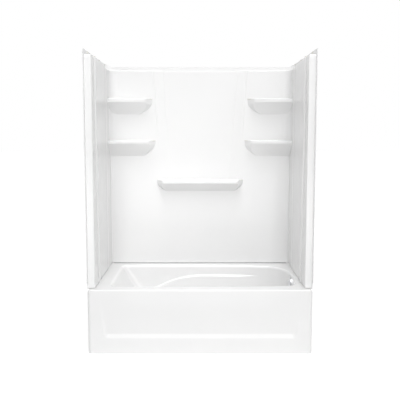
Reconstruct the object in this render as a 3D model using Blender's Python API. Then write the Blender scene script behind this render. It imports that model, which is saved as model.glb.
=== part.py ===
"""Alcove tub and shower unit: an acrylic bath with an apron, three moulded wall panels and the
hidden timber, seals, fasteners and waste fittings that hold it up and drain it.

Metres, +Z up. X runs along the bath, the open front faces -Y, and the origin is on the floor under
the middle of the unit. Depths marked "d" are measured back from the plane of the apron's face.
"""

import math

import bmesh
import bpy
from mathutils import Matrix, Vector

# Overall size
WIDTH = 1.524
DEPTH = 0.762
HALF = WIDTH / 2
FRONT_Y = -DEPTH / 2
DECK_Z = 0.441
SIDE_MOULDED_TOP = 2.005
SIDE_FLANGE_TOP = 2.040
BACK_MOULDED_TOP = 1.983
BACK_FLANGE_TOP = 2.013
SHELL_T = 0.0045
PANEL_T = 0.004
GAP = 0.0003

# Bath opening, measured where the walls meet the rolled rim
OPEN_LEFT = -0.605
OPEN_RIGHT = 0.677
OPEN_FRONT_D = 0.092
OPEN_BACK_D = 0.674
OPEN_RADIUS_LEFT = 0.050
OPEN_RADIUS_LEFT_MOST = 0.165
OPEN_RADIUS_GROWTH = 3.0
OPEN_RADIUS_RIGHT = 0.140
BOW_X = -0.120
FRONT_BOW = 0.050
BACK_BOW = 0.160
SIDE_BOW = 0.014
ROLL = 0.014
BACKREST_SLOPE = 0.60
DRAIN_END_SLOPE = 0.12
LONG_WALL_SLOPE = 0.10

# Armrest ledge on the two long walls of the bath
LEDGE_STEP = 0.018
LEDGE_Z = 0.367
LEDGE_BEND_X = 0.020
LEDGE_BEND_LENGTH = 0.190
LEDGE_BEND = 0.72
LEDGE_SLOPE = 0.275
LEDGE_LOW_Z = 0.262

# Bath floor and drain
FLOOR_Z = 0.098
FLOOR_FALL = 0.010
FLOOR_FILLET = 0.055
DRAIN_X = 0.505
DRAIN_D = 0.376
DRAIN_SEAT_Z = 0.096
DRAIN_SEAT_R = 0.042
DRAIN_HOLE_R = 0.026

# Apron and rim edges
RIM_FRONT_R = 0.012
RIM_END_R = 0.025
APRON_CORNER_R = 0.026
APRON_RETURN_D = 0.036
APRON_FOOT_D = 0.028
RECESS_DEPTH = 0.018
RECESS_TOP_Z = 0.395
RECESS_BOTTOM_Z = 0.151
BEVEL_FOOT_Z = 0.109
RECESS_EDGE_X = 0.683
RECESS_EDGE_Z = 0.374
RECESS_EDGE_SLANT = 0.1435
RECESS_EDGE_WIDTH = 0.014
FRONT_SPAN = 0.742

# Upstand behind the wall panels
UPSTAND_START_D = 0.040
UPSTAND_X = HALF - SHELL_T
UPSTAND_D = DEPTH - SHELL_T
UPSTAND_FILLET = 0.006
UPSTAND_CORNER_R = 0.012
UPSTAND_TOP_Z = 0.466

# Wall panels
SEAL_T = 0.003
PANEL_BOTTOM_Z = DECK_Z + SEAL_T
WALL_X = 0.715
WALL_D = 0.742
FLANGE_X = HALF - PANEL_T
FLANGE_D = DEPTH - PANEL_T
FLANGE_BOTTOM_Z = 0.487
COLUMN_FACE_D = 0.028
COLUMN_INNER_X = 0.704
COLUMN_BACK_D = 0.108
SEAM_D = 0.566
SEAM_SEAL_T = 0.003
SEAM_FLANGE_IN = 0.721
SEAM_FLANGE_OUT = 0.745
EDGE_R = 0.006
COLUMN_EDGE_R = 0.0095
COVE_R = 0.085
COVE_R_LOW = 0.015
FLANGE_CORNER_R = 0.012
FLANGE_SLOPE_X = 0.698
COVE_FADE_TOP = 1.320
COVE_FADE_FOOT = 1.250

# Tapered recess in the middle of the back wall
TAPER_DEPTH = 0.012
TAPER_OUTER_X = 0.373
TAPER_OUTER_SLANT = 0.071
TAPER_INNER_X = 0.298
TAPER_INNER_SLANT = 0.078

# Moulded shelves: top, foot of the lip, foot of the wedge below it
SHELF_DEPTH = 0.100
SHELF_END_ROUND = 0.050
UPPER_SHELF = (1.762, 1.739, 1.661)
LOWER_SHELF = (1.435, 1.417, 1.320)
CENTRE_SHELF = (1.122, 1.103, 1.033)
UPPER_SHELF_END = (0.373, 0.437)
LOWER_SHELF_END = (0.354, 0.440)
CENTRE_SHELF_END = (0.344, 0.275)

# Seam bolts
SEAM_BOLT_X = 0.733
SEAM_BOLT_HEIGHTS = (0.60, 1.00, 1.40, 1.80)
SEAM_BOLT_R = 0.003
HEX_R = 0.0058
SEAM_HOLE_R = 0.0036

# Timber and boards
BATTEN_TOP_Z = DECK_Z - SHELL_T - GAP
BATTEN_SIZE = 0.038
BATTEN_FOOT_Z = BATTEN_TOP_Z - BATTEN_SIZE
BATTEN_HALF_LENGTH = 0.690
FRONT_BATTEN_D = 0.029
BACK_BATTEN_D = 0.690
END_BATTEN_FRONT_D = 0.080
END_BATTEN_BACK_D = 0.685
LEFT_BATTEN_X = -0.740
RIGHT_BATTEN = (0.729, 0.750)
APRON_POST_X = 0.450
BEARER_XS = (("left", -0.22), ("middle", 0.09), ("right", 0.40))
BOARD_FOOT_Z = 0.082
BOARD_LEFT = -0.300
BOARD_RIGHT = 0.455
BOARD_FRONT_D = 0.215
BOARD_BACK_D = 0.528
SIDE_BACKER_T = 0.012
BACK_BACKER_T = 0.011
SIDE_BACKER_D = (0.20, 0.50)
SIDE_BACKER_Z = (0.60, 1.00)
BACK_BACKER_X = 0.40
BACK_BACKER_Z = (0.60, 0.82)

# Waste and overflow
PIPE_R = 0.01905
PIPE_BORE_R = 0.017
SOCKET_R = 0.0235
WASTE_AXIS_Z = 0.050
STACK_X = 0.705
OVERFLOW_Z = 0.388
OVERFLOW_HOLE_R = 0.026
OVERFLOW_SCREW_Y = 0.014
TEE_LOW_Z = 0.012
TEE_HIGH_Z = 0.118
TEE_BRANCH_X = 0.647
ELBOW_LOW_Z = 0.330
SOCKET_LENGTH = 0.022
NUT_LENGTH = 0.016
NUT_R = 0.0265
GASKET_BORE_R = 0.0268
GASKET_R = 0.0345

# Thickening of the skins
FLATNESS = 0.002
MITRE_LIMIT = 1.8

# How finely round things are faceted
CORNER_STEPS = 5
QUARTER_TURN_HANDLE = 0.5523
SIDE_FRACTIONS = (0.0, 0.02, 0.04, 0.16, 0.30, 0.44, 0.58, 0.72, 0.86, 1.0)
TURN_STEPS = 18
SMALL_STEPS = 12


def y_at(d):
    """World Y of a depth measured back from the apron's face."""
    return FRONT_Y + d


def mix(a, b, t):
    return a + (b - a) * t


def clamp(value, low=0.0, high=1.0):
    return max(low, min(high, value))


def clear_scene():
    for old in list(bpy.data.objects):
        bpy.data.objects.remove(old, do_unlink=True)


def material(name, colour, roughness, metallic=0.0):
    made = bpy.data.materials.get(name)
    if made is None:
        made = bpy.data.materials.new(name)
        made.use_nodes = True
        shader = made.node_tree.nodes["Principled BSDF"]
        shader.inputs["Base Color"].default_value = (*colour, 1.0)
        shader.inputs["Roughness"].default_value = roughness
        shader.inputs["Metallic"].default_value = metallic
    return made


def acrylic():
    return material("white_acrylic", (0.90, 0.90, 0.90), 0.18)


def timber():
    return material("softwood", (0.62, 0.45, 0.27), 0.8)


def strand_board():
    return material("strand_board", (0.55, 0.42, 0.26), 0.85)


def seal_foam():
    return material("seal_foam", (0.35, 0.35, 0.36), 0.9)


def rubber():
    return material("black_rubber", (0.03, 0.03, 0.03), 0.7)


def chrome():
    return material("chrome", (0.80, 0.81, 0.83), 0.08, 1.0)


def zinc():
    return material("zinc_steel", (0.60, 0.61, 0.62), 0.35, 1.0)


def pipe_plastic():
    return material("pipe_plastic", (0.86, 0.86, 0.83), 0.4)


def link(name, mesh, skin):
    mesh.materials.append(skin)
    made = bpy.data.objects.new(name, mesh)
    bpy.context.scene.collection.objects.link(made)
    return made


def object_from_bmesh(name, bm, skin):
    """Finish a bmesh as an object; its faces are turned out and its round parts shaded smooth."""
    bmesh.ops.remove_doubles(bm, verts=bm.verts, dist=1e-6)
    bmesh.ops.recalc_face_normals(bm, faces=bm.faces)
    mesh = bpy.data.meshes.new(name)
    bm.to_mesh(mesh)
    bm.free()
    mesh.shade_smooth()
    mesh.set_sharp_from_angle(angle=math.radians(35))
    return link(name, mesh, skin)


def box_object(name, low, high, skin):
    bm = bmesh.new()
    bmesh.ops.create_cube(bm, size=1.0)
    for vert in bm.verts:
        for axis in range(3):
            vert.co[axis] = low[axis] if vert.co[axis] < 0 else high[axis]
    return object_from_bmesh(name, bm, skin)


def block_between(bm, low, high):
    made = bmesh.ops.create_cube(bm, size=1.0)["verts"]
    for vert in made:
        for axis in range(3):
            vert.co[axis] = low[axis] if vert.co[axis] < 0 else high[axis]


def turned(name, profile, place, skin, steps=TURN_STEPS):
    """A ring or a solid, turned from a closed (radius, height) profile about local Z."""
    bm = bmesh.new()
    points = [bm.verts.new((radius, 0.0, height)) for radius, height in profile]
    edges = [bm.edges.new((points[i - 1], points[i])) for i in range(len(points))
             if profile[i - 1][0] + profile[i][0] > 0.0]
    bmesh.ops.spin(bm, geom=points + edges, cent=(0, 0, 0), axis=(0, 0, 1),
                   angle=math.tau, steps=steps, use_merge=True)
    bmesh.ops.remove_doubles(bm, verts=bm.verts, dist=1e-6)
    bmesh.ops.dissolve_degenerate(bm, dist=1e-7, edges=bm.edges)
    bmesh.ops.transform(bm, matrix=place, verts=bm.verts)
    return object_from_bmesh(name, bm, skin)


def turned_cutter(name, profile, place):
    """A turned cutter, its facets set half a step round from those of the piece it cuts."""
    twist = Matrix.Rotation(math.pi / TURN_STEPS, 4, "Z")
    return turned(name, profile, place @ twist, pipe_plastic())


def rod_into(bm, radius, start, end, steps):
    """Add a closed cylinder from start to end."""
    start = Vector(start)
    end = Vector(end)
    length = (end - start).length
    turn = (end - start).to_track_quat("Z", "Y").to_matrix().to_4x4()
    place = Matrix.Translation((start + end) / 2) @ turn
    bmesh.ops.create_cone(bm, cap_ends=True, segments=steps, radius1=radius, radius2=radius,
                          depth=length, matrix=place)


def rod(name, radius, start, end, skin, steps=TURN_STEPS):
    bm = bmesh.new()
    rod_into(bm, radius, start, end, steps)
    return object_from_bmesh(name, bm, skin)


def as_cutter(tool):
    tool.hide_render = True
    tool.display_type = "WIRE"
    return tool


def combine(target, tool, operation):
    step = target.modifiers.new(operation.lower(), "BOOLEAN")
    step.operation = operation
    step.object = as_cutter(tool)
    step.solver = "EXACT"


def rods_cutter(name, rods, steps=SMALL_STEPS):
    bm = bmesh.new()
    for radius, start, end in rods:
        rod_into(bm, radius, start, end, steps)
    return object_from_bmesh(name, bm, acrylic())


def behind(vert, thickness):
    """Where a skin's vertex goes on its hidden side so that every face there keeps its thickness."""
    total = sum(face.calc_area() for face in vert.link_faces)
    spread = Matrix(((FLATNESS, 0, 0), (0, FLATNESS, 0), (0, 0, FLATNESS)))
    pull = Vector()
    for loop in vert.link_loops:
        normal = loop.face.normal
        weight = loop.calc_angle() / math.pi + 0.1 * loop.face.calc_area() / total
        rows = [[weight * normal[i] * normal[j] for j in range(3)] for i in range(3)]
        spread += Matrix(rows)
        pull -= weight * thickness * normal
    offset = spread.inverted() @ pull
    if offset.length > MITRE_LIMIT * thickness:
        offset *= MITRE_LIMIT * thickness / offset.length
    place = vert.co + offset
    place.x = clamp(place.x, -HALF, HALF)
    place.y = min(place.y, -FRONT_Y)
    return place


def thicken(bm, thickness):
    """Give a skin its thickness on its hidden side and close its edges."""
    bm.normal_update()
    skin = list(bm.faces)
    rim = [edge.link_loops[0] for edge in bm.edges if edge.is_boundary]
    rim = [(loop.vert, loop.link_loop_next.vert) for loop in rim]
    places = [(vert, behind(vert, thickness)) for vert in bm.verts]
    hidden = {vert: bm.verts.new(place) for vert, place in places}
    for face in skin:
        bm.faces.new([hidden[vert] for vert in reversed(face.verts)])
    for first, second in rim:
        bm.faces.new((second, first, hidden[first], hidden[second]))


def skin_from_rows(bm, rows, closed=False, keep=None):
    """Join rows of matching points with quads and return the rows of vertices."""
    made = [[bm.verts.new(point) for point in row] for row in rows]
    fill_rows(bm, made, closed, keep)
    return made


def fill_rows(bm, made, closed=False, keep=None):
    count = len(made[0])
    last = count if closed else count - 1
    for r in range(len(made) - 1):
        for c in range(last):
            if keep is not None and not keep(r, c):
                continue
            after = (c + 1) % count
            bm.faces.new((made[r][c], made[r][after], made[r + 1][after], made[r + 1][c]))


def drop_slivers(bm):
    bmesh.ops.remove_doubles(bm, verts=bm.verts, dist=1e-5)
    bmesh.ops.dissolve_degenerate(bm, dist=1e-5, edges=bm.edges)


def skin_object(name, bm, thickness, spot, facing):
    """Finish a skin whose visible side at a spot faces a given way, and thicken it behind."""
    drop_slivers(bm)
    bmesh.ops.recalc_face_normals(bm, faces=bm.faces)
    sample = min(bm.faces, key=lambda face: (face.calc_center_median() - Vector(spot)).length)
    if sample.normal.dot(Vector(facing)) < 0:
        bmesh.ops.reverse_faces(bm, faces=bm.faces)
    thicken(bm, thickness)
    mesh = bpy.data.meshes.new(name)
    bm.to_mesh(mesh)
    bm.free()
    mesh.shade_smooth()
    mesh.set_sharp_from_angle(angle=math.radians(35))
    return link(name, mesh, acrylic())


# Bath

def crest_z(x):
    """Height of the armrest ledge, level at the drain end and falling towards the backrest."""
    reach = max(0.0, LEDGE_BEND_X - x)
    bend = min(reach, LEDGE_BEND_LENGTH)
    return max(LEDGE_LOW_Z, LEDGE_Z - LEDGE_BEND * bend * bend - LEDGE_SLOPE * (reach - bend))


def floor_z(x):
    return FLOOR_Z + FLOOR_FALL * max(0.0, DRAIN_X - 0.06 - x)


def front_stations(edge_x):
    """X of the points along a front edge, set out from the recess edge at that height."""
    inner = edge_x - RECESS_EDGE_WIDTH
    half = [edge_x, inner, inner * 0.74, inner * 0.49, inner * 0.24]
    return [-x for x in half] + [0.0] + half[::-1]


FRONT_FRACTIONS = [0.5 + 0.5 * x / FRONT_SPAN for x in front_stations(RECESS_EDGE_X)]


def long_line(xs, d, bow):
    """Points along a long wall that bows out round a place left of the middle."""
    return [(x, d + bow * abs(x - BOW_X) ** 3) for x in xs]


def end_line(x, low_d, high_d, bow):
    """Points along an end wall, flat in the middle and bowed in towards its corners."""
    return [(x - bow * (2.0 * t - 1.0) ** 4, mix(low_d, high_d, t)) for t in SIDE_FRACTIONS]


def corner(line, after):
    """Points between two lines of an outline, on a curve that runs on from both."""
    start = Vector(line[-1])
    end = Vector(after[0])
    leaving = (start - Vector(line[-2])).normalized()
    arriving = (Vector(after[1]) - end).normalized()
    handle = QUARTER_TURN_HANDLE * (end - start).length / math.sqrt(2.0)
    points = []
    for i in range(1, CORNER_STEPS):
        t = i / CORNER_STEPS
        place = ((1 - t) ** 3 * start + 3 * (1 - t) ** 2 * t * (start + handle * leaving)
                 + 3 * (1 - t) * t ** 2 * (end - handle * arriving) + t ** 3 * end)
        points.append((place.x, place.y))
    return points


def outline(left, right, front, back, radius_left, radius_right):
    """A rounded, bowed opening as matching points, from the front left, anticlockwise."""
    near_x = left + radius_left
    far_x = right - SIDE_BOW - radius_right
    xs = [near_x] + [mix(near_x, far_x, t) for t in FRONT_FRACTIONS] + [far_x]
    front_line = long_line(xs, front, FRONT_BOW)
    back_line = long_line(xs, back, -BACK_BOW)[::-1]
    right_line = end_line(right, front_line[-1][1] + radius_right,
                          back_line[0][1] - radius_right, SIDE_BOW)
    left_line = end_line(left, front_line[0][1] + radius_left,
                         back_line[-1][1] - radius_left, 0.0)[::-1]
    lines = [front_line, right_line, back_line, left_line]
    points = []
    for line, after in zip(lines, lines[1:] + lines[:1]):
        points += line + corner(line, after)
    return points


def bath_outline(z, inset=0.0, step=0.0):
    """The bath's inside at a height, moved in by inset, and by step on the long walls."""
    fall = DECK_Z - ROLL - z
    round_left = min(OPEN_RADIUS_LEFT + OPEN_RADIUS_GROWTH * max(0.0, fall), OPEN_RADIUS_LEFT_MOST)
    round_right = OPEN_RADIUS_RIGHT - 0.05 * fall
    return outline(OPEN_LEFT + BACKREST_SLOPE * fall + inset,
                   OPEN_RIGHT - DRAIN_END_SLOPE * fall - inset,
                   OPEN_FRONT_D + LONG_WALL_SLOPE * fall + inset + step,
                   OPEN_BACK_D - LONG_WALL_SLOPE * fall - inset - step,
                   max(0.02, round_left - 0.5 * inset), max(0.02, round_right - 0.5 * inset))


def level_ring(z, inset=0.0, step=0.0):
    return [(x, y_at(d), z) for x, d in bath_outline(z, inset, step)]


def floor_ring(rise, inset):
    """A ring of the fillet where the walls meet the sloping floor."""
    flat = bath_outline(FLOOR_Z + rise, inset, LEDGE_STEP)
    return [(x, y_at(d), floor_z(x) + rise) for x, d in flat]


def crest_ring(lift, step):
    """A ring that follows the armrest ledge."""
    ring = []
    for index, (x, _) in enumerate(bath_outline(LEDGE_Z + lift, 0.0, step)):
        z = crest_z(x) + lift
        fitted_x, d = bath_outline(z, 0.0, step)[index]
        ring.append((fitted_x, y_at(d), z))
    return ring


def drain_ring(radius):
    """A circle round the drain whose points match the bath's outline."""
    ring = []
    for x, d in bath_outline(FLOOR_Z, 0.0, LEDGE_STEP):
        angle = math.atan2(d - DRAIN_D, x - DRAIN_X)
        ring.append((DRAIN_X + radius * math.cos(angle),
                     y_at(DRAIN_D + radius * math.sin(angle)), DRAIN_SEAT_Z))
    return ring


def deck_edge():
    """Where the flat deck ends: (x, d, outward x, outward d, edge radius, kind) for each point."""
    edge = []
    corner_x = HALF - APRON_CORNER_R
    edge.append((-corner_x, 0.0, 0.0, -1.0, RIM_FRONT_R, "skirt"))
    edge += [(mix(-corner_x, corner_x, t), 0.0, 0.0, -1.0, RIM_FRONT_R, "skirt")
             for t in FRONT_FRACTIONS]
    edge.append((corner_x, 0.0, 0.0, -1.0, RIM_FRONT_R, "skirt"))
    edge += skirt_corner(1)
    side = [UPSTAND_START_D, 0.13, 0.25, 0.37, 0.49, 0.61, 0.70, UPSTAND_D - UPSTAND_CORNER_R]
    edge.append((HALF, APRON_RETURN_D, 1.0, 0.0, RIM_END_R, "skirt"))
    edge += [(UPSTAND_X, d, 1.0, 0.0, UPSTAND_FILLET, "upstand") for d in side]
    edge += upstand_corner(1)
    back_x = UPSTAND_X - UPSTAND_CORNER_R
    edge += [(mix(-back_x, back_x, t), UPSTAND_D, 0.0, 1.0, UPSTAND_FILLET, "upstand")
             for t in FRONT_FRACTIONS[::-1]]
    edge.append((-back_x, UPSTAND_D, 0.0, 1.0, UPSTAND_FILLET, "upstand"))
    edge += upstand_corner(-1)
    edge += [(-UPSTAND_X, d, -1.0, 0.0, UPSTAND_FILLET, "upstand") for d in side[::-1][1:]]
    edge.append((-HALF, APRON_RETURN_D, -1.0, 0.0, RIM_END_R, "skirt"))
    edge.append((-HALF, APRON_CORNER_R, -1.0, 0.0, RIM_END_R, "skirt"))
    edge += skirt_corner(-1)[:-1][::-1]
    return edge


def skirt_corner(side):
    """Front corner of the rim, from the front face round to the end."""
    made = []
    for i in range(1, CORNER_STEPS + 1):
        t = i / CORNER_STEPS
        angle = math.radians(90 * t)
        out_x = side * math.sin(angle)
        out_d = -math.cos(angle)
        x = side * (HALF - APRON_CORNER_R) + APRON_CORNER_R * out_x
        d = APRON_CORNER_R + APRON_CORNER_R * out_d
        made.append((x, d, out_x, out_d, mix(RIM_FRONT_R, RIM_END_R, t), "skirt"))
    return made


def upstand_corner(side):
    """Back corner of the deck, in the order of the outline."""
    made = []
    radius = UPSTAND_CORNER_R
    for i in range(1, CORNER_STEPS + 1):
        t = i / CORNER_STEPS if side > 0 else 1.0 - i / CORNER_STEPS
        angle = math.radians(90 * t)
        out_x = side * math.cos(angle)
        out_d = math.sin(angle)
        made.append((side * (UPSTAND_X - radius) + radius * out_x,
                     UPSTAND_D - radius + radius * out_d, out_x, out_d, UPSTAND_FILLET, "upstand"))
    return made


def recess_edge_x(z):
    return RECESS_EDGE_X - RECESS_EDGE_SLANT * (RECESS_EDGE_Z - z)


def recess_depth(x, z):
    """How far the apron's panel lies behind its border."""
    across = clamp((recess_edge_x(z) - abs(x)) / RECESS_EDGE_WIDTH)
    from_top = clamp((RECESS_TOP_Z - z) / (RECESS_TOP_Z - RECESS_BOTTOM_Z))
    from_foot = clamp((z - BEVEL_FOOT_Z) / (RECESS_BOTTOM_Z - BEVEL_FOOT_Z))
    return RECESS_DEPTH * across * min(from_top, from_foot)


def skirt_rows(edge):
    """Rows of points from the rim's rounded edge down the apron to the floor."""
    rows = []
    for turn in (30, 60, 90):
        angle = math.radians(turn)
        row = []
        for x, d, out_x, out_d, radius, _ in edge:
            reach = radius * (math.sin(angle) - 1.0)
            row.append((x + reach * out_x, y_at(d + reach * out_d),
                        DECK_Z - radius * (1.0 - math.cos(angle))))
        rows.append(row)
    for z in (0.395, 0.374, 0.300, 0.225, RECESS_BOTTOM_Z, 0.130, BEVEL_FOOT_Z, 0.055, 0.0):
        stations = iter(front_stations(recess_edge_x(z)))
        row = []
        for x, d, _, out_d, _, _ in edge:
            if out_d == -1.0 and abs(x) < HALF - APRON_CORNER_R:
                x = next(stations)
            row.append((x, y_at(d + recess_depth(x, z) * (out_d == -1.0)), z))
        rows.append(row)
    return rows


def upstand_rows(edge):
    """Rows of points up the tiling upstand that stands behind the wall panels."""
    rows = []
    for turn in (45, 90):
        angle = math.radians(turn)
        row = []
        for x, d, out_x, out_d, radius, _ in edge:
            reach = radius * (math.sin(angle) - 1.0)
            row.append((x + reach * out_x, y_at(d + reach * out_d),
                        DECK_Z + radius * (1.0 - math.cos(angle))))
        rows.append(row)
    rows.append([(x, y_at(d), UPSTAND_TOP_Z) for x, d, _, _, _, _ in edge])
    return rows


def bath_rings():
    return [
        drain_ring(DRAIN_HOLE_R),
        drain_ring(DRAIN_SEAT_R),
        floor_ring(0.0, FLOOR_FILLET),
        floor_ring(FLOOR_FILLET * 0.13, FLOOR_FILLET * 0.50),
        floor_ring(FLOOR_FILLET * 0.45, FLOOR_FILLET * 0.16),
        floor_ring(FLOOR_FILLET, 0.0),
        crest_ring(-0.040, LEDGE_STEP),
        crest_ring(-0.010, LEDGE_STEP),
        crest_ring(0.0, LEDGE_STEP * 0.55),
        crest_ring(0.005, 0.0),
        level_ring(DECK_Z - ROLL),
        level_ring(DECK_Z - ROLL * 0.29, -ROLL * 0.29),
        level_ring(DECK_Z, -ROLL),
    ]


def build_tub_shell():
    edge = deck_edge()
    count = len(edge)
    deck_ring = [(x - radius * out_x, y_at(d - radius * out_d), DECK_Z)
                 for x, d, out_x, out_d, radius, _ in edge]
    bm = bmesh.new()
    rings = skin_from_rows(bm, bath_rings() + [deck_ring], closed=True)

    skirt = [i for i in range(count) if edge[i][5] == "skirt"]
    split = next(k for k in range(1, len(skirt)) if skirt[k] != skirt[k - 1] + 1)
    skirt = skirt[split:] + skirt[:split]
    skirt_points = skirt_rows([edge[i] for i in skirt])
    rows = [[rings[-1][i] for i in skirt]]
    rows += [[bm.verts.new(point) for point in row] for row in skirt_points]
    fill_rows(bm, rows)
    is_front = [edge[i][3] == -1.0 for i in skirt]
    foot = [vert for vert, front in zip(rows[-1], is_front) if front]
    foot_back = [bm.verts.new((vert.co.x, y_at(APRON_FOOT_D), 0.0)) for vert in foot]
    fill_rows(bm, [foot, foot_back])

    upstand = [i for i in range(count) if edge[i][5] == "upstand"]
    upstand_points = upstand_rows([edge[i] for i in upstand])
    rows = [[rings[-1][i] for i in upstand]]
    rows += [[bm.verts.new(point) for point in row] for row in upstand_points]
    fill_rows(bm, rows)

    shell = skin_object("tub_shell", bm, SHELL_T, (0.0, y_at(0.04), DECK_Z), (0, 0, 1))
    centre = overflow_centre()
    outward = overflow_axis()
    hole = rods_cutter("overflow_hole", [(OVERFLOW_HOLE_R, centre - 0.03 * outward,
                                          centre + 0.03 * outward)], TURN_STEPS)
    combine(shell, hole, "DIFFERENCE")


# Wall panels

def side_path():
    """Plan of a side panel, from the front of its nailing flange back to the seam flange."""
    return [
        (FLANGE_X, 0.0),
        (FLANGE_X, COLUMN_FACE_D - EDGE_R),
        (FLANGE_X - 0.8 * EDGE_R, COLUMN_FACE_D),
        (COLUMN_INNER_X + COLUMN_EDGE_R, COLUMN_FACE_D),
        (COLUMN_INNER_X + 0.3 * COLUMN_EDGE_R, COLUMN_FACE_D + 0.3 * COLUMN_EDGE_R),
        (COLUMN_INNER_X, COLUMN_FACE_D + COLUMN_EDGE_R),
        (COLUMN_INNER_X, COLUMN_BACK_D),
        (mix(COLUMN_INNER_X, WALL_X, 0.25), COLUMN_BACK_D + 0.006),
        (mix(COLUMN_INNER_X, WALL_X, 0.75), COLUMN_BACK_D + 0.011),
        (WALL_X, COLUMN_BACK_D + 0.017),
        (WALL_X, SEAM_D - EDGE_R),
        (WALL_X + 0.3 * EDGE_R, SEAM_D - 0.3 * EDGE_R),
        (SEAM_FLANGE_IN, SEAM_D),
        (SEAM_FLANGE_OUT, SEAM_D),
    ]


def on_column_face(x, d):
    return COLUMN_FACE_D - 0.5 * EDGE_R < d < COLUMN_FACE_D + 2.0 * EDGE_R and x < FLANGE_X - EDGE_R


def eased(point, amount):
    """A point of the side panel's plan, drawn back to round its top."""
    x, d = point
    back = amount if on_column_face(x, d) else 0.0
    out = 0.0 if x == SEAM_FLANGE_OUT else min(amount, FLANGE_X - x)
    return x + out, d + back


def build_side_panel(name, side):
    path = side_path()
    outer = [(FLANGE_X, d) for _, d in path]
    foot = [(x, d + (EDGE_R if on_column_face(x, d) else 0.0)) for x, d in path]
    levels = [
        (PANEL_BOTTOM_Z, foot),
        (PANEL_BOTTOM_Z + 0.010, path),
        (FLANGE_BOTTOM_Z, path),
        (1.0, path),
        (1.5, path),
        (SIDE_MOULDED_TOP - EDGE_R, path),
        (SIDE_MOULDED_TOP - 0.3 * EDGE_R, [eased(point, 0.3 * EDGE_R) for point in path]),
        (SIDE_MOULDED_TOP, [eased(point, EDGE_R) for point in path]),
        (SIDE_MOULDED_TOP, outer),
        (SIDE_FLANGE_TOP, outer),
    ]
    rows = [[(side * x, y_at(d), z) for x, d in plan] for z, plan in levels]
    flange_foot = next(i for i, level in enumerate(levels) if level[0] == FLANGE_BOTTOM_Z)
    bm = bmesh.new()
    skin_from_rows(bm, rows, keep=lambda r, c: c > 0 or r >= flange_foot)
    panel = skin_object(name, bm, PANEL_T, (side * WALL_X, y_at(0.3), 1.2), (-side, 0, 0))
    combine(panel, seam_holes_cutter(name + "_holes", side), "DIFFERENCE")


def seam_holes_cutter(name, side):
    rods = [(SEAM_HOLE_R, (side * SEAM_BOLT_X, y_at(SEAM_D - 0.02), z),
             (side * SEAM_BOLT_X, y_at(SEAM_D + 0.02), z)) for z in SEAM_BOLT_HEIGHTS]
    return rods_cutter(name, rods)


def between(stations, z):
    """Straight-line value at a height from (height, value) stations."""
    if z <= stations[0][0]:
        return stations[0][1]
    for (z0, v0), (z1, v1) in zip(stations, stations[1:]):
        if z <= z1:
            return mix(v0, v1, (z - z0) / (z1 - z0))
    return stations[-1][1]


def corner_shelf_end(z):
    """X where a corner shelf starts at a height, or where its mesh line passes above and below."""
    stations = [(CENTRE_SHELF[0], LOWER_SHELF_END[0] + 0.050)]
    for (top, lip, foot), (end, foot_end) in ((LOWER_SHELF, LOWER_SHELF_END),
                                              (UPPER_SHELF, UPPER_SHELF_END)):
        stations += [(foot, foot_end), (lip, end), (top, end)]
    stations.append((BACK_MOULDED_TOP, TAPER_OUTER_X + 0.012))
    return between(stations, z)


def centre_shelf_end(z):
    top, lip, foot = CENTRE_SHELF
    end, foot_end = CENTRE_SHELF_END
    return between([(foot, foot_end), (lip, end), (top, end)], z)


def taper_outer(z):
    return TAPER_OUTER_X - TAPER_OUTER_SLANT * (BACK_FLANGE_TOP - z)


def taper_inner(z):
    return TAPER_INNER_X - TAPER_INNER_SLANT * (BACK_FLANGE_TOP - z)


def taper_recess(x, z):
    """How far the tapered middle of the back wall lies behind the rest."""
    if z < CENTRE_SHELF[0]:
        return 0.0
    outer = taper_outer(z)
    return TAPER_DEPTH * clamp((outer - abs(x)) / (outer - taper_inner(z)))


def wedge_share(shelf, z):
    """How much of a shelf's depth stands out at a height."""
    top, lip, foot = shelf
    if z > top + 1e-9:
        return 0.0
    return clamp((z - foot) / (lip - foot))


def end_share(inward):
    """How much of a shelf's depth stands out at a distance in from its rounded end."""
    t = clamp(inward / SHELF_END_ROUND)
    return math.sqrt(1.0 - (1.0 - t) ** 2)


def shelf_reach(x, z):
    """How far the moulded shelves stand out of the back wall."""
    corner_share = max(wedge_share(UPPER_SHELF, z), wedge_share(LOWER_SHELF, z)
                       if z <= LOWER_SHELF[0] else 0.0)
    corner_reach = corner_share * end_share(abs(x) - corner_shelf_end(z))
    centre_reach = wedge_share(CENTRE_SHELF, z) * end_share(centre_shelf_end(z) - abs(x))
    return SHELF_DEPTH * max(corner_reach, centre_reach)


def cove_radius(z):
    t = clamp((z - COVE_FADE_FOOT) / (COVE_FADE_TOP - COVE_FADE_FOOT))
    return mix(COVE_R_LOW, COVE_R, t)


def wall_stations(z):
    """X of the back wall's mesh lines on one side at a height, from the cove to the middle."""
    end = corner_shelf_end(z)
    corner_lines = [end + SHELF_END_ROUND, end + 0.34 * SHELF_END_ROUND,
                    end + 0.08 * SHELF_END_ROUND, end]
    if z <= CENTRE_SHELF[0]:
        centre_end = centre_shelf_end(z)
        middle = centre_end - SHELF_END_ROUND
        lines = [centre_end, centre_end - 0.08 * SHELF_END_ROUND,
                 centre_end - 0.34 * SHELF_END_ROUND, middle, 0.80 * middle]
    else:
        outer = taper_outer(z)
        inner = taper_inner(z)
        lines = [mix(outer, end, 0.67), mix(outer, end, 0.33), outer, mix(inner, outer, 0.5), inner]
    first = mix(WALL_X - cove_radius(z), corner_lines[0], 0.5)
    return [first] + corner_lines + lines + [0.5 * lines[-1]]


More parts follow.
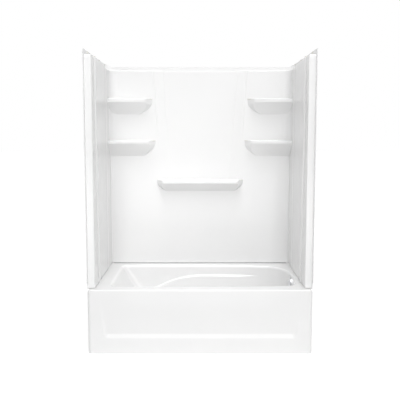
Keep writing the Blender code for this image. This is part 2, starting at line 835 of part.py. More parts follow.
def back_plan(z, with_shelves):
    """Plan of the back panel at a height, from the right seam flange to the left one."""
    seam = SEAM_D + SEAM_SEAL_T
    radius = cove_radius(z)
    half = [
        (SEAM_FLANGE_OUT, seam),
        (SEAM_FLANGE_IN, seam),
        (WALL_X + 0.3 * EDGE_R, seam + 0.3 * EDGE_R),
        (WALL_X, seam + EDGE_R),
        (WALL_X, WALL_D - radius),
    ]
    for i in range(1, CORNER_STEPS + 1):
        angle = math.radians(90 * i / CORNER_STEPS)
        half.append((WALL_X - radius * (1.0 - math.cos(angle)),
                     WALL_D - radius * (1.0 - math.sin(angle))))
    half += [(x, WALL_D) for x in wall_stations(z)]
    plan = []
    for x, d in half:
        reach = shelf_reach(x, z) if with_shelves else 0.0
        behind = taper_recess(x, z) if reach == 0.0 else 0.0
        plan.append((x, min(d, WALL_D - reach) + behind))
    reach = shelf_reach(0.0, z) if with_shelves else 0.0
    middle = (0.0, WALL_D - reach + (taper_recess(0.0, z) if reach == 0.0 else 0.0))
    return plan + [middle] + [(-x, d) for x, d in plan[::-1]]


def back_outer_plan():
    """Plan of the back panel's nailing flange, point for point with back_plan."""
    seam = SEAM_D + SEAM_SEAL_T
    half = [(FLANGE_X, seam), (FLANGE_X, seam), (FLANGE_X, seam + 0.3 * EDGE_R),
            (FLANGE_X, seam + EDGE_R), (FLANGE_X, WALL_D - COVE_R)]
    radius = FLANGE_CORNER_R
    for degrees in (30, 60, 90):
        angle = math.radians(degrees)
        half.append((FLANGE_X - radius * (1.0 - math.cos(angle)),
                     FLANGE_D - radius * (1.0 - math.sin(angle))))
    half.append((mix(FLANGE_X - radius, FLANGE_SLOPE_X, 0.5), FLANGE_D))
    half.append((FLANGE_SLOPE_X, FLANGE_D))
    half += [(x, FLANGE_D) for x in wall_stations(BACK_MOULDED_TOP)]
    return half + [(0.0, FLANGE_D)] + [(-x, d) for x, d in half[::-1]]


def back_flange_top(x):
    """Height of the back flange, which rises at each corner to meet the side flanges."""
    share = clamp((abs(x) - FLANGE_SLOPE_X) / (FLANGE_X - FLANGE_SLOPE_X))
    return mix(BACK_FLANGE_TOP, SIDE_FLANGE_TOP, share)


def top_eased(plan, amount):
    """The back panel's plan drawn back to round its top edge."""
    made = []
    for x, d in plan:
        side = 1.0 if x > 0 else -1.0
        out = amount if WALL_X - COVE_R < abs(x) < SEAM_FLANGE_OUT else 0.0
        behind = amount if abs(x) < WALL_X - 0.5 * COVE_R else 0.0
        made.append((x + side * out, min(d + behind, FLANGE_D)))
    return made


def build_back_panel():
    levels = [(PANEL_BOTTOM_Z, True), (0.75, True)]
    for shelf in (CENTRE_SHELF, LOWER_SHELF, UPPER_SHELF):
        if shelf is LOWER_SHELF:
            levels.append((COVE_FADE_FOOT, True))
        top, lip, foot = shelf
        levels += [(foot, True), (lip, True), (top, True), (top, False)]
    plans = [(z, back_plan(z, on)) for z, on in levels]
    top_plan = back_plan(BACK_MOULDED_TOP, False)
    plans += [
        (BACK_MOULDED_TOP - EDGE_R, back_plan(BACK_MOULDED_TOP - EDGE_R, False)),
        (BACK_MOULDED_TOP - 0.3 * EDGE_R, top_eased(top_plan, 0.3 * EDGE_R)),
        (BACK_MOULDED_TOP, top_eased(top_plan, 0.6 * EDGE_R)),
        (BACK_MOULDED_TOP, back_outer_plan()),
    ]
    rows = [[(x, y_at(d), z) for x, d in plan] for z, plan in plans]
    rows.append([(x, y_at(d), back_flange_top(x)) for x, d in back_outer_plan()])
    bm = bmesh.new()
    skin_from_rows(bm, rows)
    panel = skin_object("back_wall_panel", bm, PANEL_T, (0.45, y_at(WALL_D), 0.7), (0, -1, 0))
    combine(panel, seam_holes_cutter("back_holes_right", 1), "DIFFERENCE")
    combine(panel, seam_holes_cutter("back_holes_left", -1), "DIFFERENCE")


# Seals and seam fasteners

def build_seals():
    low_z = DECK_Z + GAP
    high_z = PANEL_BOTTOM_Z - GAP
    box_object("back_wall_seal", (-WALL_X + 0.016, y_at(WALL_D + GAP), low_z),
               (WALL_X - 0.016, y_at(WALL_D + PANEL_T - GAP), high_z), seal_foam())
    for name, side in (("left", -1), ("right", 1)):
        xs = sorted((side * (WALL_X + GAP), side * (WALL_X + PANEL_T - GAP)))
        box_object(name + "_wall_seal", (xs[0], y_at(COLUMN_BACK_D + 0.018), low_z),
                   (xs[1], y_at(SEAM_D - 0.008), high_z), seal_foam())
        xs = sorted((side * (SEAM_FLANGE_IN + GAP), side * (SEAM_FLANGE_OUT - GAP)))
        strip = box_object(name + "_corner_seal", (xs[0], y_at(SEAM_D + GAP), PANEL_BOTTOM_Z),
                           (xs[1], y_at(SEAM_D + SEAM_SEAL_T - GAP),
                            BACK_MOULDED_TOP - 2 * EDGE_R), seal_foam())
        combine(strip, seam_holes_cutter(name + "_seal_holes", side), "DIFFERENCE")


def seam_rod(name, radius, low_d, high_d, side, z, steps):
    """A rod or hexagon that lies along Y through the seam at a bolt's height."""
    return rod(name, radius, (side * SEAM_BOLT_X, y_at(low_d), z),
               (side * SEAM_BOLT_X, y_at(high_d), z), zinc(), steps)


def build_seam_fasteners(name, side):
    head_back = SEAM_D - PANEL_T - GAP
    head_front = head_back - 0.004
    nut_front = SEAM_D + SEAM_SEAL_T + PANEL_T + GAP
    nut_back = nut_front + 0.005
    for index, z in enumerate(SEAM_BOLT_HEIGHTS, start=1):
        bolt = seam_rod(f"{name}_seam_bolt_{index}", HEX_R, head_front, head_back, side, z, 6)
        shank = seam_rod(f"{name}_shank_{index}", SEAM_BOLT_R, head_front + 0.001,
                         nut_back + 0.004, side, z, SMALL_STEPS)
        combine(bolt, shank, "UNION")
        nut = seam_rod(f"{name}_seam_nut_{index}", HEX_R, nut_front, nut_back, side, z, 6)
        bore = seam_rod(f"{name}_nut_bore_{index}", SEAM_BOLT_R + GAP, nut_front - 0.01,
                        nut_back + 0.01, side, z, SMALL_STEPS)
        combine(nut, bore, "DIFFERENCE")


# Timber and boards

def build_bottom_board():
    """A board bonded under the bath's floor, its top following the floor's fall."""
    bm = bmesh.new()
    bmesh.ops.create_cube(bm, size=1.0)
    clearance = SHELL_T + 0.0013
    for vert in bm.verts:
        at_left = vert.co.x < 0
        vert.co.x = BOARD_LEFT if at_left else BOARD_RIGHT
        vert.co.y = y_at(BOARD_FRONT_D if vert.co.y < 0 else BOARD_BACK_D)
        top = floor_z(vert.co.x) - 0.0005 if at_left else DRAIN_SEAT_Z + 0.0005
        vert.co.z = top - clearance if vert.co.z > 0 else BOARD_FOOT_Z
    object_from_bmesh("tub_bottom_board", bm, strand_board())


def build_bearers():
    for name, x in BEARER_XS:
        box_object(name + "_floor_bearer",
                   (x - BATTEN_SIZE / 2, y_at(BOARD_FRONT_D), 0.0),
                   (x + BATTEN_SIZE / 2, y_at(BOARD_BACK_D), BOARD_FOOT_Z - GAP), timber())


def build_rim_battens():
    for name, d in (("front", FRONT_BATTEN_D), ("back", BACK_BATTEN_D)):
        box_object(name + "_rim_batten", (-BATTEN_HALF_LENGTH, y_at(d), BATTEN_FOOT_Z),
                   (BATTEN_HALF_LENGTH, y_at(d + BATTEN_SIZE), BATTEN_TOP_Z), timber())
    left_batten = (LEFT_BATTEN_X, LEFT_BATTEN_X + BATTEN_SIZE)
    for name, (low_x, high_x) in (("left", left_batten), ("right", RIGHT_BATTEN)):
        box_object(name + "_rim_batten", (low_x, y_at(END_BATTEN_FRONT_D), BATTEN_FOOT_Z),
                   (high_x, y_at(END_BATTEN_BACK_D), BATTEN_TOP_Z), timber())


def build_apron_posts():
    for name, x in (("left", -APRON_POST_X), ("right", APRON_POST_X)):
        box_object(name + "_apron_post", (x - BATTEN_SIZE / 2, y_at(FRONT_BATTEN_D), 0.0),
                   (x + BATTEN_SIZE / 2, y_at(FRONT_BATTEN_D + BATTEN_SIZE), BATTEN_FOOT_Z - GAP),
                   timber())


def build_backer_boards():
    near_x = WALL_X + PANEL_T + GAP
    for name, side in (("left", -1), ("right", 1)):
        xs = sorted((side * near_x, side * (near_x + SIDE_BACKER_T)))
        box_object(name + "_backer_board", (xs[0], y_at(SIDE_BACKER_D[0]), SIDE_BACKER_Z[0]),
                   (xs[1], y_at(SIDE_BACKER_D[1]), SIDE_BACKER_Z[1]), strand_board())
    near_d = WALL_D + PANEL_T + GAP
    box_object("back_backer_board", (-BACK_BACKER_X, y_at(near_d), BACK_BACKER_Z[0]),
               (BACK_BACKER_X, y_at(near_d + BACK_BACKER_T), BACK_BACKER_Z[1]), strand_board())


# Waste and overflow

def drain_place():
    return Matrix.Translation((DRAIN_X, y_at(DRAIN_D), 0.0))


def overflow_axis():
    """Unit vector out through the sloping drain end of the bath."""
    return Vector((1.0, 0.0, -DRAIN_END_SLOPE)).normalized()


def overflow_centre():
    x = OPEN_RIGHT - DRAIN_END_SLOPE * (DECK_Z - ROLL - OVERFLOW_Z)
    return Vector((x, y_at(DRAIN_D), OVERFLOW_Z))


def overflow_place():
    """Local Z out through the wall, local Y along the world's Y."""
    outward = overflow_axis()
    across = Vector((0.0, 1.0, 0.0))
    up = across.cross(outward)
    turn = Matrix((up, across, outward)).transposed().to_4x4()
    return Matrix.Translation(overflow_centre()) @ turn


def build_strainer():
    place = drain_place()
    strainer = turned("drain_strainer", [
        (0.0220, 0.0990), (0.0340, 0.0990), (0.0365, 0.0975), (0.0365, 0.0963),
        (0.0250, 0.0963), (0.0245, 0.0950), (0.0245, 0.0660), (0.0220, 0.0660)], place, chrome())
    bars = bmesh.new()
    block_between(bars, (-0.0232, -0.002, 0.068), (0.0232, 0.002, 0.072))
    bmesh.ops.transform(bars, matrix=place, verts=bars.verts)
    combine(strainer, object_from_bmesh("strainer_bar_x", bars, chrome()), "UNION")
    bars = bmesh.new()
    block_between(bars, (-0.0021, -0.0232, 0.0679), (0.0021, 0.0232, 0.0721))
    bmesh.ops.transform(bars, matrix=place, verts=bars.verts)
    combine(strainer, object_from_bmesh("strainer_bar_y", bars, chrome()), "UNION")
    boss = turned("strainer_boss", [(0.0, 0.0665), (0.007, 0.0665), (0.007, 0.0760),
                                    (0.0, 0.0760)], place, chrome(), SMALL_STEPS)
    combine(strainer, boss, "UNION")


def build_stopper():
    place = drain_place()
    turned("stopper_stem", [(0.0, 0.0763), (0.004, 0.0763), (0.004, 0.0955), (0.003, 0.0965),
                            (0.0, 0.0965)], place, zinc(), SMALL_STEPS)
    turned("stopper_seal", [(0.0075, 0.0955), (0.0212, 0.0955), (0.0214, 0.0994),
                            (0.0075, 0.0994)], place, rubber())
    turned("drain_stopper", [(0.0, 0.1045), (0.012, 0.1043), (0.022, 0.1030), (0.0262, 0.1012),
                             (0.0262, 0.0997), (0.0072, 0.0997), (0.0072, 0.0840),
                             (0.0043, 0.0840), (0.0043, 0.0985), (0.0, 0.0985)], place, chrome())


def build_drain_shoe():
    place = drain_place()
    y = y_at(DRAIN_D)
    turned("drain_gasket", [(GASKET_BORE_R, 0.0873), (GASKET_R, 0.0873), (GASKET_R, 0.0912),
                            (GASKET_BORE_R, 0.0912)], place, rubber())
    shoe = turned("drain_shoe", [(0.0, 0.0240), (0.0270, 0.0240), (0.0300, 0.0270),
                                 (0.0300, 0.0795), (0.0360, 0.0815), (0.0360, 0.0870),
                                 (0.0, 0.0870)], place, pipe_plastic())
    outlet = rod("shoe_outlet", SOCKET_R, (DRAIN_X, y, WASTE_AXIS_Z),
                 (DRAIN_X + 0.060, y, WASTE_AXIS_Z), pipe_plastic())
    combine(shoe, outlet, "UNION")
    throat = turned_cutter("shoe_throat", [(0.0, 0.0300), (0.0252, 0.0300), (0.0252, 0.0950),
                                           (0.0, 0.0950)], place)
    combine(shoe, throat, "DIFFERENCE")
    way = turned_cutter("shoe_way", socket_profile(0.001, 0.036, 0.070),
                        pipe_place((DRAIN_X, y, WASTE_AXIS_Z), "X"))
    combine(shoe, way, "DIFFERENCE")


def socket_profile(start, shoulder, end):
    """Bore of a socket: pipe bore as far as the shoulder, then wide enough for the pipe."""
    wide = PIPE_R + GAP
    return [(0.0, start), (PIPE_BORE_R, start), (PIPE_BORE_R, shoulder), (wide, shoulder),
            (wide, end), (0.0, end)]


def pipe_place(origin, axis):
    """Local Z along +X, -X, +Z or -Z from the origin."""
    turns = {"X": Matrix.Rotation(math.radians(90), 4, "Y"),
             "-X": Matrix.Rotation(math.radians(-90), 4, "Y"),
             "Z": Matrix.Identity(4),
             "-Z": Matrix.Rotation(math.radians(180), 4, "X")}
    return Matrix.Translation(origin) @ turns[axis]


def tube_profile(start, end):
    return [(PIPE_BORE_R, start), (PIPE_R, start), (PIPE_R, end), (PIPE_BORE_R, end)]


def build_pipes():
    y = y_at(DRAIN_D)
    turned("waste_pipe", tube_profile(DRAIN_X + 0.0363, STACK_X - 0.0300),
           pipe_place((0.0, y, WASTE_AXIS_Z), "X"), pipe_plastic())
    turned("overflow_pipe", tube_profile(TEE_HIGH_Z - 0.0277, ELBOW_LOW_Z + SOCKET_LENGTH - GAP),
           pipe_place((STACK_X, y, 0.0), "Z"), pipe_plastic())


def build_tee():
    y = y_at(DRAIN_D)
    tee = rod("waste_tee", SOCKET_R, (STACK_X, y, TEE_LOW_Z), (STACK_X, y, TEE_HIGH_Z),
              pipe_plastic())
    branch = rod("tee_branch", SOCKET_R, (STACK_X, y, WASTE_AXIS_Z),
                 (TEE_BRANCH_X, y, WASTE_AXIS_Z), pipe_plastic())
    combine(tee, branch, "UNION")
    wide = PIPE_R + GAP
    low_shoulder = TEE_LOW_Z + 0.020
    high_shoulder = TEE_HIGH_Z - 0.028
    stack_way = turned_cutter("tee_stack_way", [
        (0.0, TEE_LOW_Z - 0.01), (wide, TEE_LOW_Z - 0.01), (wide, low_shoulder),
        (PIPE_BORE_R, low_shoulder), (PIPE_BORE_R, high_shoulder), (wide, high_shoulder),
        (wide, TEE_HIGH_Z + 0.01), (0.0, TEE_HIGH_Z + 0.01)], pipe_place((STACK_X, y, 0.0), "Z"))
    combine(tee, stack_way, "DIFFERENCE")
    side_way = turned_cutter("tee_side_way", socket_profile(0.001, 0.0297, 0.080),
                             pipe_place((STACK_X, y, WASTE_AXIS_Z), "-X"))
    combine(tee, side_way, "DIFFERENCE")


def build_slip_nuts():
    """The nuts that clamp the pipes in their sockets."""
    y = y_at(DRAIN_D)
    places = {
        "shoe_slip_nut": pipe_place((DRAIN_X + 0.060 + GAP, y, WASTE_AXIS_Z), "X"),
        "tee_side_slip_nut": pipe_place((TEE_BRANCH_X - GAP, y, WASTE_AXIS_Z), "-X"),
        "tee_top_slip_nut": pipe_place((STACK_X, y, TEE_HIGH_Z + GAP), "Z"),
        "elbow_slip_nut": pipe_place((STACK_X, y, ELBOW_LOW_Z - GAP), "-Z"),
    }
    bore = PIPE_R + GAP
    for name, place in places.items():
        turned(name, [(bore, 0.0), (NUT_R, 0.0), (NUT_R, NUT_LENGTH - 0.003),
                      (NUT_R - 0.003, NUT_LENGTH), (bore, NUT_LENGTH)], place, pipe_plastic())


def build_overflow():
    place = overflow_place()
    y = y_at(DRAIN_D)
    centre = overflow_centre()
    outward = overflow_axis()
    turned("overflow_gasket", [(GASKET_BORE_R, 0.0048), (GASKET_R, 0.0048), (GASKET_R, 0.0088),
                               (GASKET_BORE_R, 0.0088)], place, rubber())
    reach = (STACK_X - centre.x) / outward.x
    elbow = turned("overflow_elbow", [(0.0, 0.0091), (GASKET_R, 0.0091), (GASKET_R, 0.0131),
                                      (SOCKET_R, 0.0151), (SOCKET_R, reach), (0.0, reach)],
                   place, pipe_plastic())
    joint_z = centre.z + outward.z * reach
    down = rod("elbow_down", SOCKET_R, (STACK_X, y, ELBOW_LOW_Z),
               (STACK_X, y, joint_z + SOCKET_R), pipe_plastic())
    combine(elbow, down, "UNION")
    mouth = turned_cutter("elbow_mouth", [(0.0, 0.0), (0.018, 0.0), (0.018, reach + 0.001),
                                          (0.0, reach + 0.001)], place)
    combine(elbow, mouth, "DIFFERENCE")
    way = turned_cutter("elbow_way", socket_profile(-0.002, joint_z - ELBOW_LOW_Z - SOCKET_LENGTH, 0.08),
                        pipe_place((STACK_X, y, joint_z), "-Z"))
    combine(elbow, way, "DIFFERENCE")
    bridge = bmesh.new()
    block_between(bridge, (-0.004, -0.0205, 0.0093), (0.004, 0.0205, 0.0130))
    bmesh.ops.transform(bridge, matrix=place, verts=bridge.verts)
    combine(elbow, object_from_bmesh("elbow_bridge", bridge, pipe_plastic()), "UNION")
    screw_ways = [(0.0020, place @ Vector((0.0, s * OVERFLOW_SCREW_Y, -0.03)),
                   place @ Vector((0.0, s * OVERFLOW_SCREW_Y, 0.03))) for s in (-1, 1)]
    combine(elbow, rods_cutter("bridge_holes", screw_ways, 8), "DIFFERENCE")

    plate = turned("overflow_plate", [
        (0.0, -0.0115), (0.019, -0.0110), (0.029, -0.0090), (0.0345, -0.0050), (0.0345, -0.0009),
        (0.0320, -0.0009), (0.0320, -0.0042), (0.027, -0.0070), (0.0, -0.0085)], place, chrome())
    combine(plate, rods_cutter("plate_holes", screw_ways, 8), "DIFFERENCE")
    slot = bmesh.new()
    block_between(slot, (0.026, -0.010, -0.0060), (0.045, 0.010, 0.0050))
    bmesh.ops.transform(slot, matrix=place, verts=slot.verts)
    combine(plate, object_from_bmesh("plate_slot", slot, chrome()), "DIFFERENCE")

    for name, side in (("front", -1), ("back", 1)):
        shift = Matrix.Translation((0.0, side * OVERFLOW_SCREW_Y, 0.0))
        turned(f"overflow_screw_{name}", [
            (0.0, -0.0138), (0.0022, -0.0134), (0.0036, -0.0118), (0.0016, -0.0118),
            (0.0016, 0.0165), (0.0, 0.0165)], place @ shift, chrome(), SMALL_STEPS)


def main():
    clear_scene()
    build_tub_shell()
    build_side_panel("left_wall_panel", -1)
    build_side_panel("right_wall_panel", 1)
    build_back_panel()
    build_seals()
    build_seam_fasteners("left", -1)
    build_seam_fasteners("right", 1)
    build_bottom_board()
    build_bearers()
    build_rim_battens()
    build_apron_posts()
    build_backer_boards()
    build_strainer()
    build_stopper()
    build_drain_shoe()
    build_pipes()
    build_tee()
    build_slip_nuts()
    build_overflow()


main()
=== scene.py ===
"""Looks of the alcove tub and shower unit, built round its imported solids.

Metres, +Z up. X runs along the bath and the open front faces -Y. Depths marked "d" are measured
back from the plane of the apron's face.
"""

import math

import bmesh
import bpy
import numpy as np
from mathutils import Matrix, Vector


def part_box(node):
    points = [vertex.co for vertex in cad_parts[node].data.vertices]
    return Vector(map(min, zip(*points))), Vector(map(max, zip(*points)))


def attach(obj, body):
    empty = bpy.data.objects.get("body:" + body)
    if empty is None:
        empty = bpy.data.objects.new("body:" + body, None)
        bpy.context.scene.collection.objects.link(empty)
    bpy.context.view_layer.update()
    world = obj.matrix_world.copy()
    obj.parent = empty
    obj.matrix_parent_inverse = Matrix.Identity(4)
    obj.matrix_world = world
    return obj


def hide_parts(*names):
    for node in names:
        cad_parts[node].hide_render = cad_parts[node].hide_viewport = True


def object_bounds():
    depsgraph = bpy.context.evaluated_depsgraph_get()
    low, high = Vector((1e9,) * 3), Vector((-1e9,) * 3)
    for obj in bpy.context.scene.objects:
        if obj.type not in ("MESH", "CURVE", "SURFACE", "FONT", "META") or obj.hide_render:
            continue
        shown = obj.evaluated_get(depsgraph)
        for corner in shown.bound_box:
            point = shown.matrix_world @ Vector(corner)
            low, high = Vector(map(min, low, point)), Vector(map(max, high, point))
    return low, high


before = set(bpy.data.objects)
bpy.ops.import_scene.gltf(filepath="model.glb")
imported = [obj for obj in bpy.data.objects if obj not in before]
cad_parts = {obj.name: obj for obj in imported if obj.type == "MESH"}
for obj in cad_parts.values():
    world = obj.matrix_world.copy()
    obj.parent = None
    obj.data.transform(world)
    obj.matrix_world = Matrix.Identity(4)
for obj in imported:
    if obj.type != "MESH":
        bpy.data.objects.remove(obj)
cad_low, cad_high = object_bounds()

# Overall size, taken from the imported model
HALF = cad_high.x
FRONT_Y = cad_low.y
DEPTH = cad_high.y - cad_low.y
PANEL_BOTTOM_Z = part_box("left_wall_panel")[0].z
UPSTAND_TOP_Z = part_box("tub_shell")[1].z
SIDE_FLANGE_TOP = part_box("left_wall_panel")[1].z

# The shells' shared dimensions
WALL_SEAL_T = 0.003
DECK_Z = PANEL_BOTTOM_Z - WALL_SEAL_T
SHELL_T = 0.0045
PANEL_T = 0.004
FLANGE_HEIGHT = 0.035
FLANGE_STEP_Z = 0.002
SIDE_MOULDED_TOP = SIDE_FLANGE_TOP - FLANGE_HEIGHT
BACK_MOULDED_TOP = 1.983
BACK_FLANGE_TOP = 2.013

# Bath opening at the deck, its corner radii, how its sides bow, and how its walls slope in
OPEN_LEFT = -0.605
OPEN_RIGHT = 0.677
OPEN_FRONT_D = 0.092
OPEN_BACK_D = 0.674
OPEN_RADIUS_LEFT = 0.036
OPEN_RADIUS_LEFT_MOST = 0.165
OPEN_RADIUS_GROWTH = 0.15
OPEN_RADIUS_RIGHT_FRONT = 0.070
OPEN_RADIUS_RIGHT_BACK = 0.140
OPEN_RADIUS_BACK_LOSS = 0.05
OPEN_RADIUS_LEAST = 0.02
OPEN_RADIUS_PER_INSET = 0.5
BOW_X = -0.120
FRONT_BOW = 0.050
BACK_BOW = 0.160
SIDE_BOW = 0.014
ROLL = 0.014
BACKREST_SLOPE = 0.60
DRAIN_END_SLOPE = 0.12
LONG_WALL_SLOPE = 0.10
QUARTER_TURN_HANDLE = 0.5523

# Armrest ledge: level near the drain, then bending and sloping down towards the backrest
LEDGE_STEP = 0.018
LEDGE_FADE_X = (0.240, 0.470)
LEDGE_Z = 0.3615
LEDGE_BEND_X = 0.020
LEDGE_BEND_LENGTH = 0.400
LEDGE_BEND = 0.69
LEDGE_SLOPE = 0.55
LEDGE_LOW_Z = 0.255
LEDGE_LOW_ROUNDING = 0.020
LEDGE_RISE = 0.004
LEDGE_BELOW = 0.016
LEDGE_ABOVE = 0.020
LEDGE_CREST_R = 0.008
LEDGE_INNER_R = 0.007

# Bath floor and drain
FLOOR_Z = 0.098
FLOOR_FALL = 0.010
FLOOR_LEVEL_RUN = 0.06
FLOOR_FILLET = 0.055
DRAIN_X = 0.505
DRAIN_D = 0.376
DRAIN_SEAT_Z = 0.096
DRAIN_SEAT_R = 0.042
DRAIN_SEAT_LIP = 0.0004
DRAIN_HOLE_R = 0.026
OVERFLOW_Z = 0.388
OVERFLOW_HOLE_R = 0.026
OVERFLOW_DRILL = 0.03

# Apron and rim; the panel's roundings are shares of the width they round
RIM_FRONT_R = 0.0075
RIM_END_R = 0.025
APRON_CORNER_R = 0.026
APRON_RETURN_D = 0.036
APRON_FOOT_D = 0.028
RECESS_DEPTH = 0.0075
RECESS_TOP_Z = 0.395
RECESS_BOTTOM_Z = 0.136
BEVEL_FOOT_Z = 0.106
RECESS_EDGE_X = 0.688
RECESS_EDGE_Z = 0.374
RECESS_EDGE_SLANT = 0.1435
RECESS_EDGE_WIDTH = 0.024
RECESS_EDGE_ROUNDING = 0.22
RECESS_TOP_ROUNDING = 0.035
BEVEL_ROUNDING = 0.16
BEVEL_BLEND = 0.05
UPSTAND_START_D = 0.040
UPSTAND_X = HALF - SHELL_T
UPSTAND_D = DEPTH - SHELL_T
UPSTAND_FILLET = 0.006
UPSTAND_CORNER_R = 0.012

# Wall panels; the columns' back parts lean back with depth below COLUMN_LEAN_FROM_Z
WALL_X = 0.715
WALL_D = 0.742
FLANGE_X = HALF - PANEL_T
FLANGE_D = DEPTH - PANEL_T
FLANGE_BOTTOM_Z = 0.487
COLUMN_FACE_D = 0.028
COLUMN_INNER_X = 0.711
BEAD_D = 0.143
BEAD_IN = 0.0065
BEAD_OUT = 0.0025
BEAD_RUN = 0.008
BEAD_FOOT_R = 0.003
BEAD_CREST_R = 0.002
BEAD_EASE = 0.035
BEAD_EASE_R = 0.020
COLUMN_LEAN = 0.045
COLUMN_LEAN_FROM_Z = 1.52
LEAN_STARTS = 0.020
LEAN_GROWS = 0.040
LEAN_ENDS = 0.050
LEAN_SHRINKS = 0.300
COLUMN_STEP = 0.008
COLUMN_STEP_R = 0.005
COLUMN_FACE_BAND = 0.012
SEAM_D = 0.566
SEAM_SEAL_T = 0.003
SEAM_FLANGE_OUT = 0.745
EDGE_R = 0.006
BACK_TOP_R = 0.002
BACK_FOOT_R = 0.004
SEAM_EDGE_R = 0.0012
COLUMN_EDGE_R = 0.0065
COLUMN_FOOT_R = 0.008
FOOT_EDGE_ENDS = 0.045
FOOT_EDGE_FADES = 0.035
FOOT_EDGE_CLEAR = 0.0045
COVE_R = 0.065
COVE_R_LOW = 0.012
COVE_FADE_TOP = 1.430
COVE_FADE_FOOT = 1.335
FLANGE_CORNER_R = 0.052
FLANGE_SLOPE_X = 0.698

# Tapered middle of the back wall: X of its edges at the flange's top, and their slants
TAPER_DEPTH = 0.012
TAPER_OUTER_X = 0.373
TAPER_OUTER_SLANT = 0.071
TAPER_INNER_X = 0.298
TAPER_INNER_SLANT = 0.078
TAPER_ROUNDING = 0.04
TAPER_FOOT_DROP = 0.010
GROOVE_HALF_WIDTH = 0.004
OUTER_GROOVE = 0.0022
INNER_GROOVE = 0.0011
GROOVE_FADE_Z = (1.380, 1.560)

# Shelves: (top, foot of the lip, foot of the wedge), and X of the ends of (lip, wedge's foot)
SHELF_DEPTH = 0.100
SHELF_CORNER_DEPTH = 0.062
SHELF_FULL_DEPTH_X = 0.600
SHELF_END_RUN = 0.048
SHELF_END_LEAST = 0.006
SHELF_END_ROUNDING = 0.12
UPPER_SHELF = (1.762, 1.734, 1.642)
LOWER_SHELF = (1.435, 1.413, 1.314)
CENTRE_SHELF = (1.122, 1.101, 1.033)
UPPER_SHELF_END = (0.378, 0.482)
LOWER_SHELF_END = (0.356, 0.450)
CENTRE_SHELF_END = (0.343, 0.274)
SHELF_LINE_LOW_OUT = 0.050
SHELF_LINE_TOP_OUT = 0.012
LIP_TOP_R = 0.006
LIP_FOOT_R = 0.004
SHELF_BACK_R = 0.006
WEDGE_FOOT_R = 0.008

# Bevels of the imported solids
BEVEL_SEGMENTS = 2
BEVEL_FROM_ANGLE = math.radians(40)
TIMBER_BEVEL = 0.0015
BOARD_BEVEL = 0.0006
RUBBER_BEVEL = 0.0003
METAL_BEVEL = 0.0004
PIPE_BEVEL = 0.0005

# Stage, and the photograph's camera in pixels and metres
WORLD_LIGHT = 0.28
FLOOR_GLOW = 0.77
FLOOR_SHADE = 0.35
FLOOR_HALF = 40.0
FLOOR_GAP = 0.0005
PHOTO_HEIGHT = 401.0
FOCAL_LENGTH = 521.1
VIEW_SHIFT = -19.5
SENSOR = 36.0
CAMERA_PLACE = (0.0, -3.805, 1.485)
CAMERA_DIP = 5.12

# How finely the shells are meshed, and from what angle an edge stays sharp
SHARP_ANGLE = math.radians(38.0)
STRAIGHT = math.radians(89.0)
TINY = 1e-6
MERGE_DISTANCE = 2e-5
SHORTEST_EDGE = 1e-5
HOLE_STEPS = 48
BORDER_LINES = 7
RAMP_LINES = 11
RAMP_MARGIN = 0.006
MIDDLE_LINES = 31
CORNER_LINES = 14
END_LINES = 26
ARC_STEPS = 8
SEAT_SHARES = (0.0, 0.5, 0.94)
FLOOR_ROWS = 12
FLOOR_SPACING_POWER = 0.8
WALL_ROWS = 9
ROLL_ROWS = 10
RIM_ROWS = 11
UPSTAND_ROWS = 7
TOP_ROWS = 8
DECK_SHARES = (0.04, 0.12, 0.25, 0.5, 0.75, 0.92, 1.0)
SKIRT_LEVELS = np.concatenate([
    [0.414, 0.408], np.linspace(0.404, 0.386, 7), np.linspace(0.380, 0.160, 17),
    np.linspace(0.154, 0.126, 11), [0.120], np.linspace(0.114, 0.098, 9),
    [0.090, 0.060, 0.030, 0.008, 0.0]])
FLANGE_LINES = 5
FOOT_ROWS = 7
SIDE_LONGEST = 0.045
SIDE_LEVELS = [0.462, 0.474, FLANGE_BOTTOM_Z, 0.50] + list(np.linspace(0.53, 1.97, 33))
COVE_STEPS = 16
COVE_TO_SHELF_LINES = 8
SHELF_TO_TAPER_LINES = 12
CENTRE_LINES = 22
END_LINES_AT = np.array([0.0, 0.03, 0.08, 0.16, 0.28, 0.42, 0.56, 0.70, 0.80,
                         0.88, 0.94, 1.0, 1.06, 1.12, 1.30])
GROOVE_LINES = GROOVE_HALF_WIDTH * np.array([2.0, 1.0, 0.5, 0.0, -0.5, -1.0])
BELOW_SHELF = 0.030
ABOVE_SHELF = 0.020
OVER_PROFILE = 0.004
PROFILE_LONGEST = 0.012
BACK_LONGEST = 0.022


def y_at(d):
    """Y of a depth behind the apron's face."""
    return FRONT_Y + d


def spots(x, d, z):
    """A row of points from their x, depths and heights."""
    return np.stack([x, y_at(np.broadcast_to(d, x.shape)), np.broadcast_to(z, x.shape)], 1)


def mix(a, b, t):
    return a + (b - a) * t


def clamp(value, low=0.0, high=1.0):
    return max(low, min(high, value))


def soft_ramp(t, r):
    """0 below 0, t between, 1 above 1, with its two bends rounded over r each way."""
    t = np.asarray(t, float)
    low = np.where(t < r, np.square(np.maximum(t + r, 0.0)) / (4.0 * r), t)
    high = np.where(t > 1.0 - r, 1.0 - np.square(np.maximum(1.0 + r - t, 0.0)) / (4.0 * r), t)
    return np.where(t < 0.5, low, high)


def soft_min(a, b, k):
    """The lower of two values, blended where they are closer than k."""
    h = np.maximum(k - np.abs(a - b), 0.0) / k
    return np.minimum(a, b) - h * h * k / 4.0


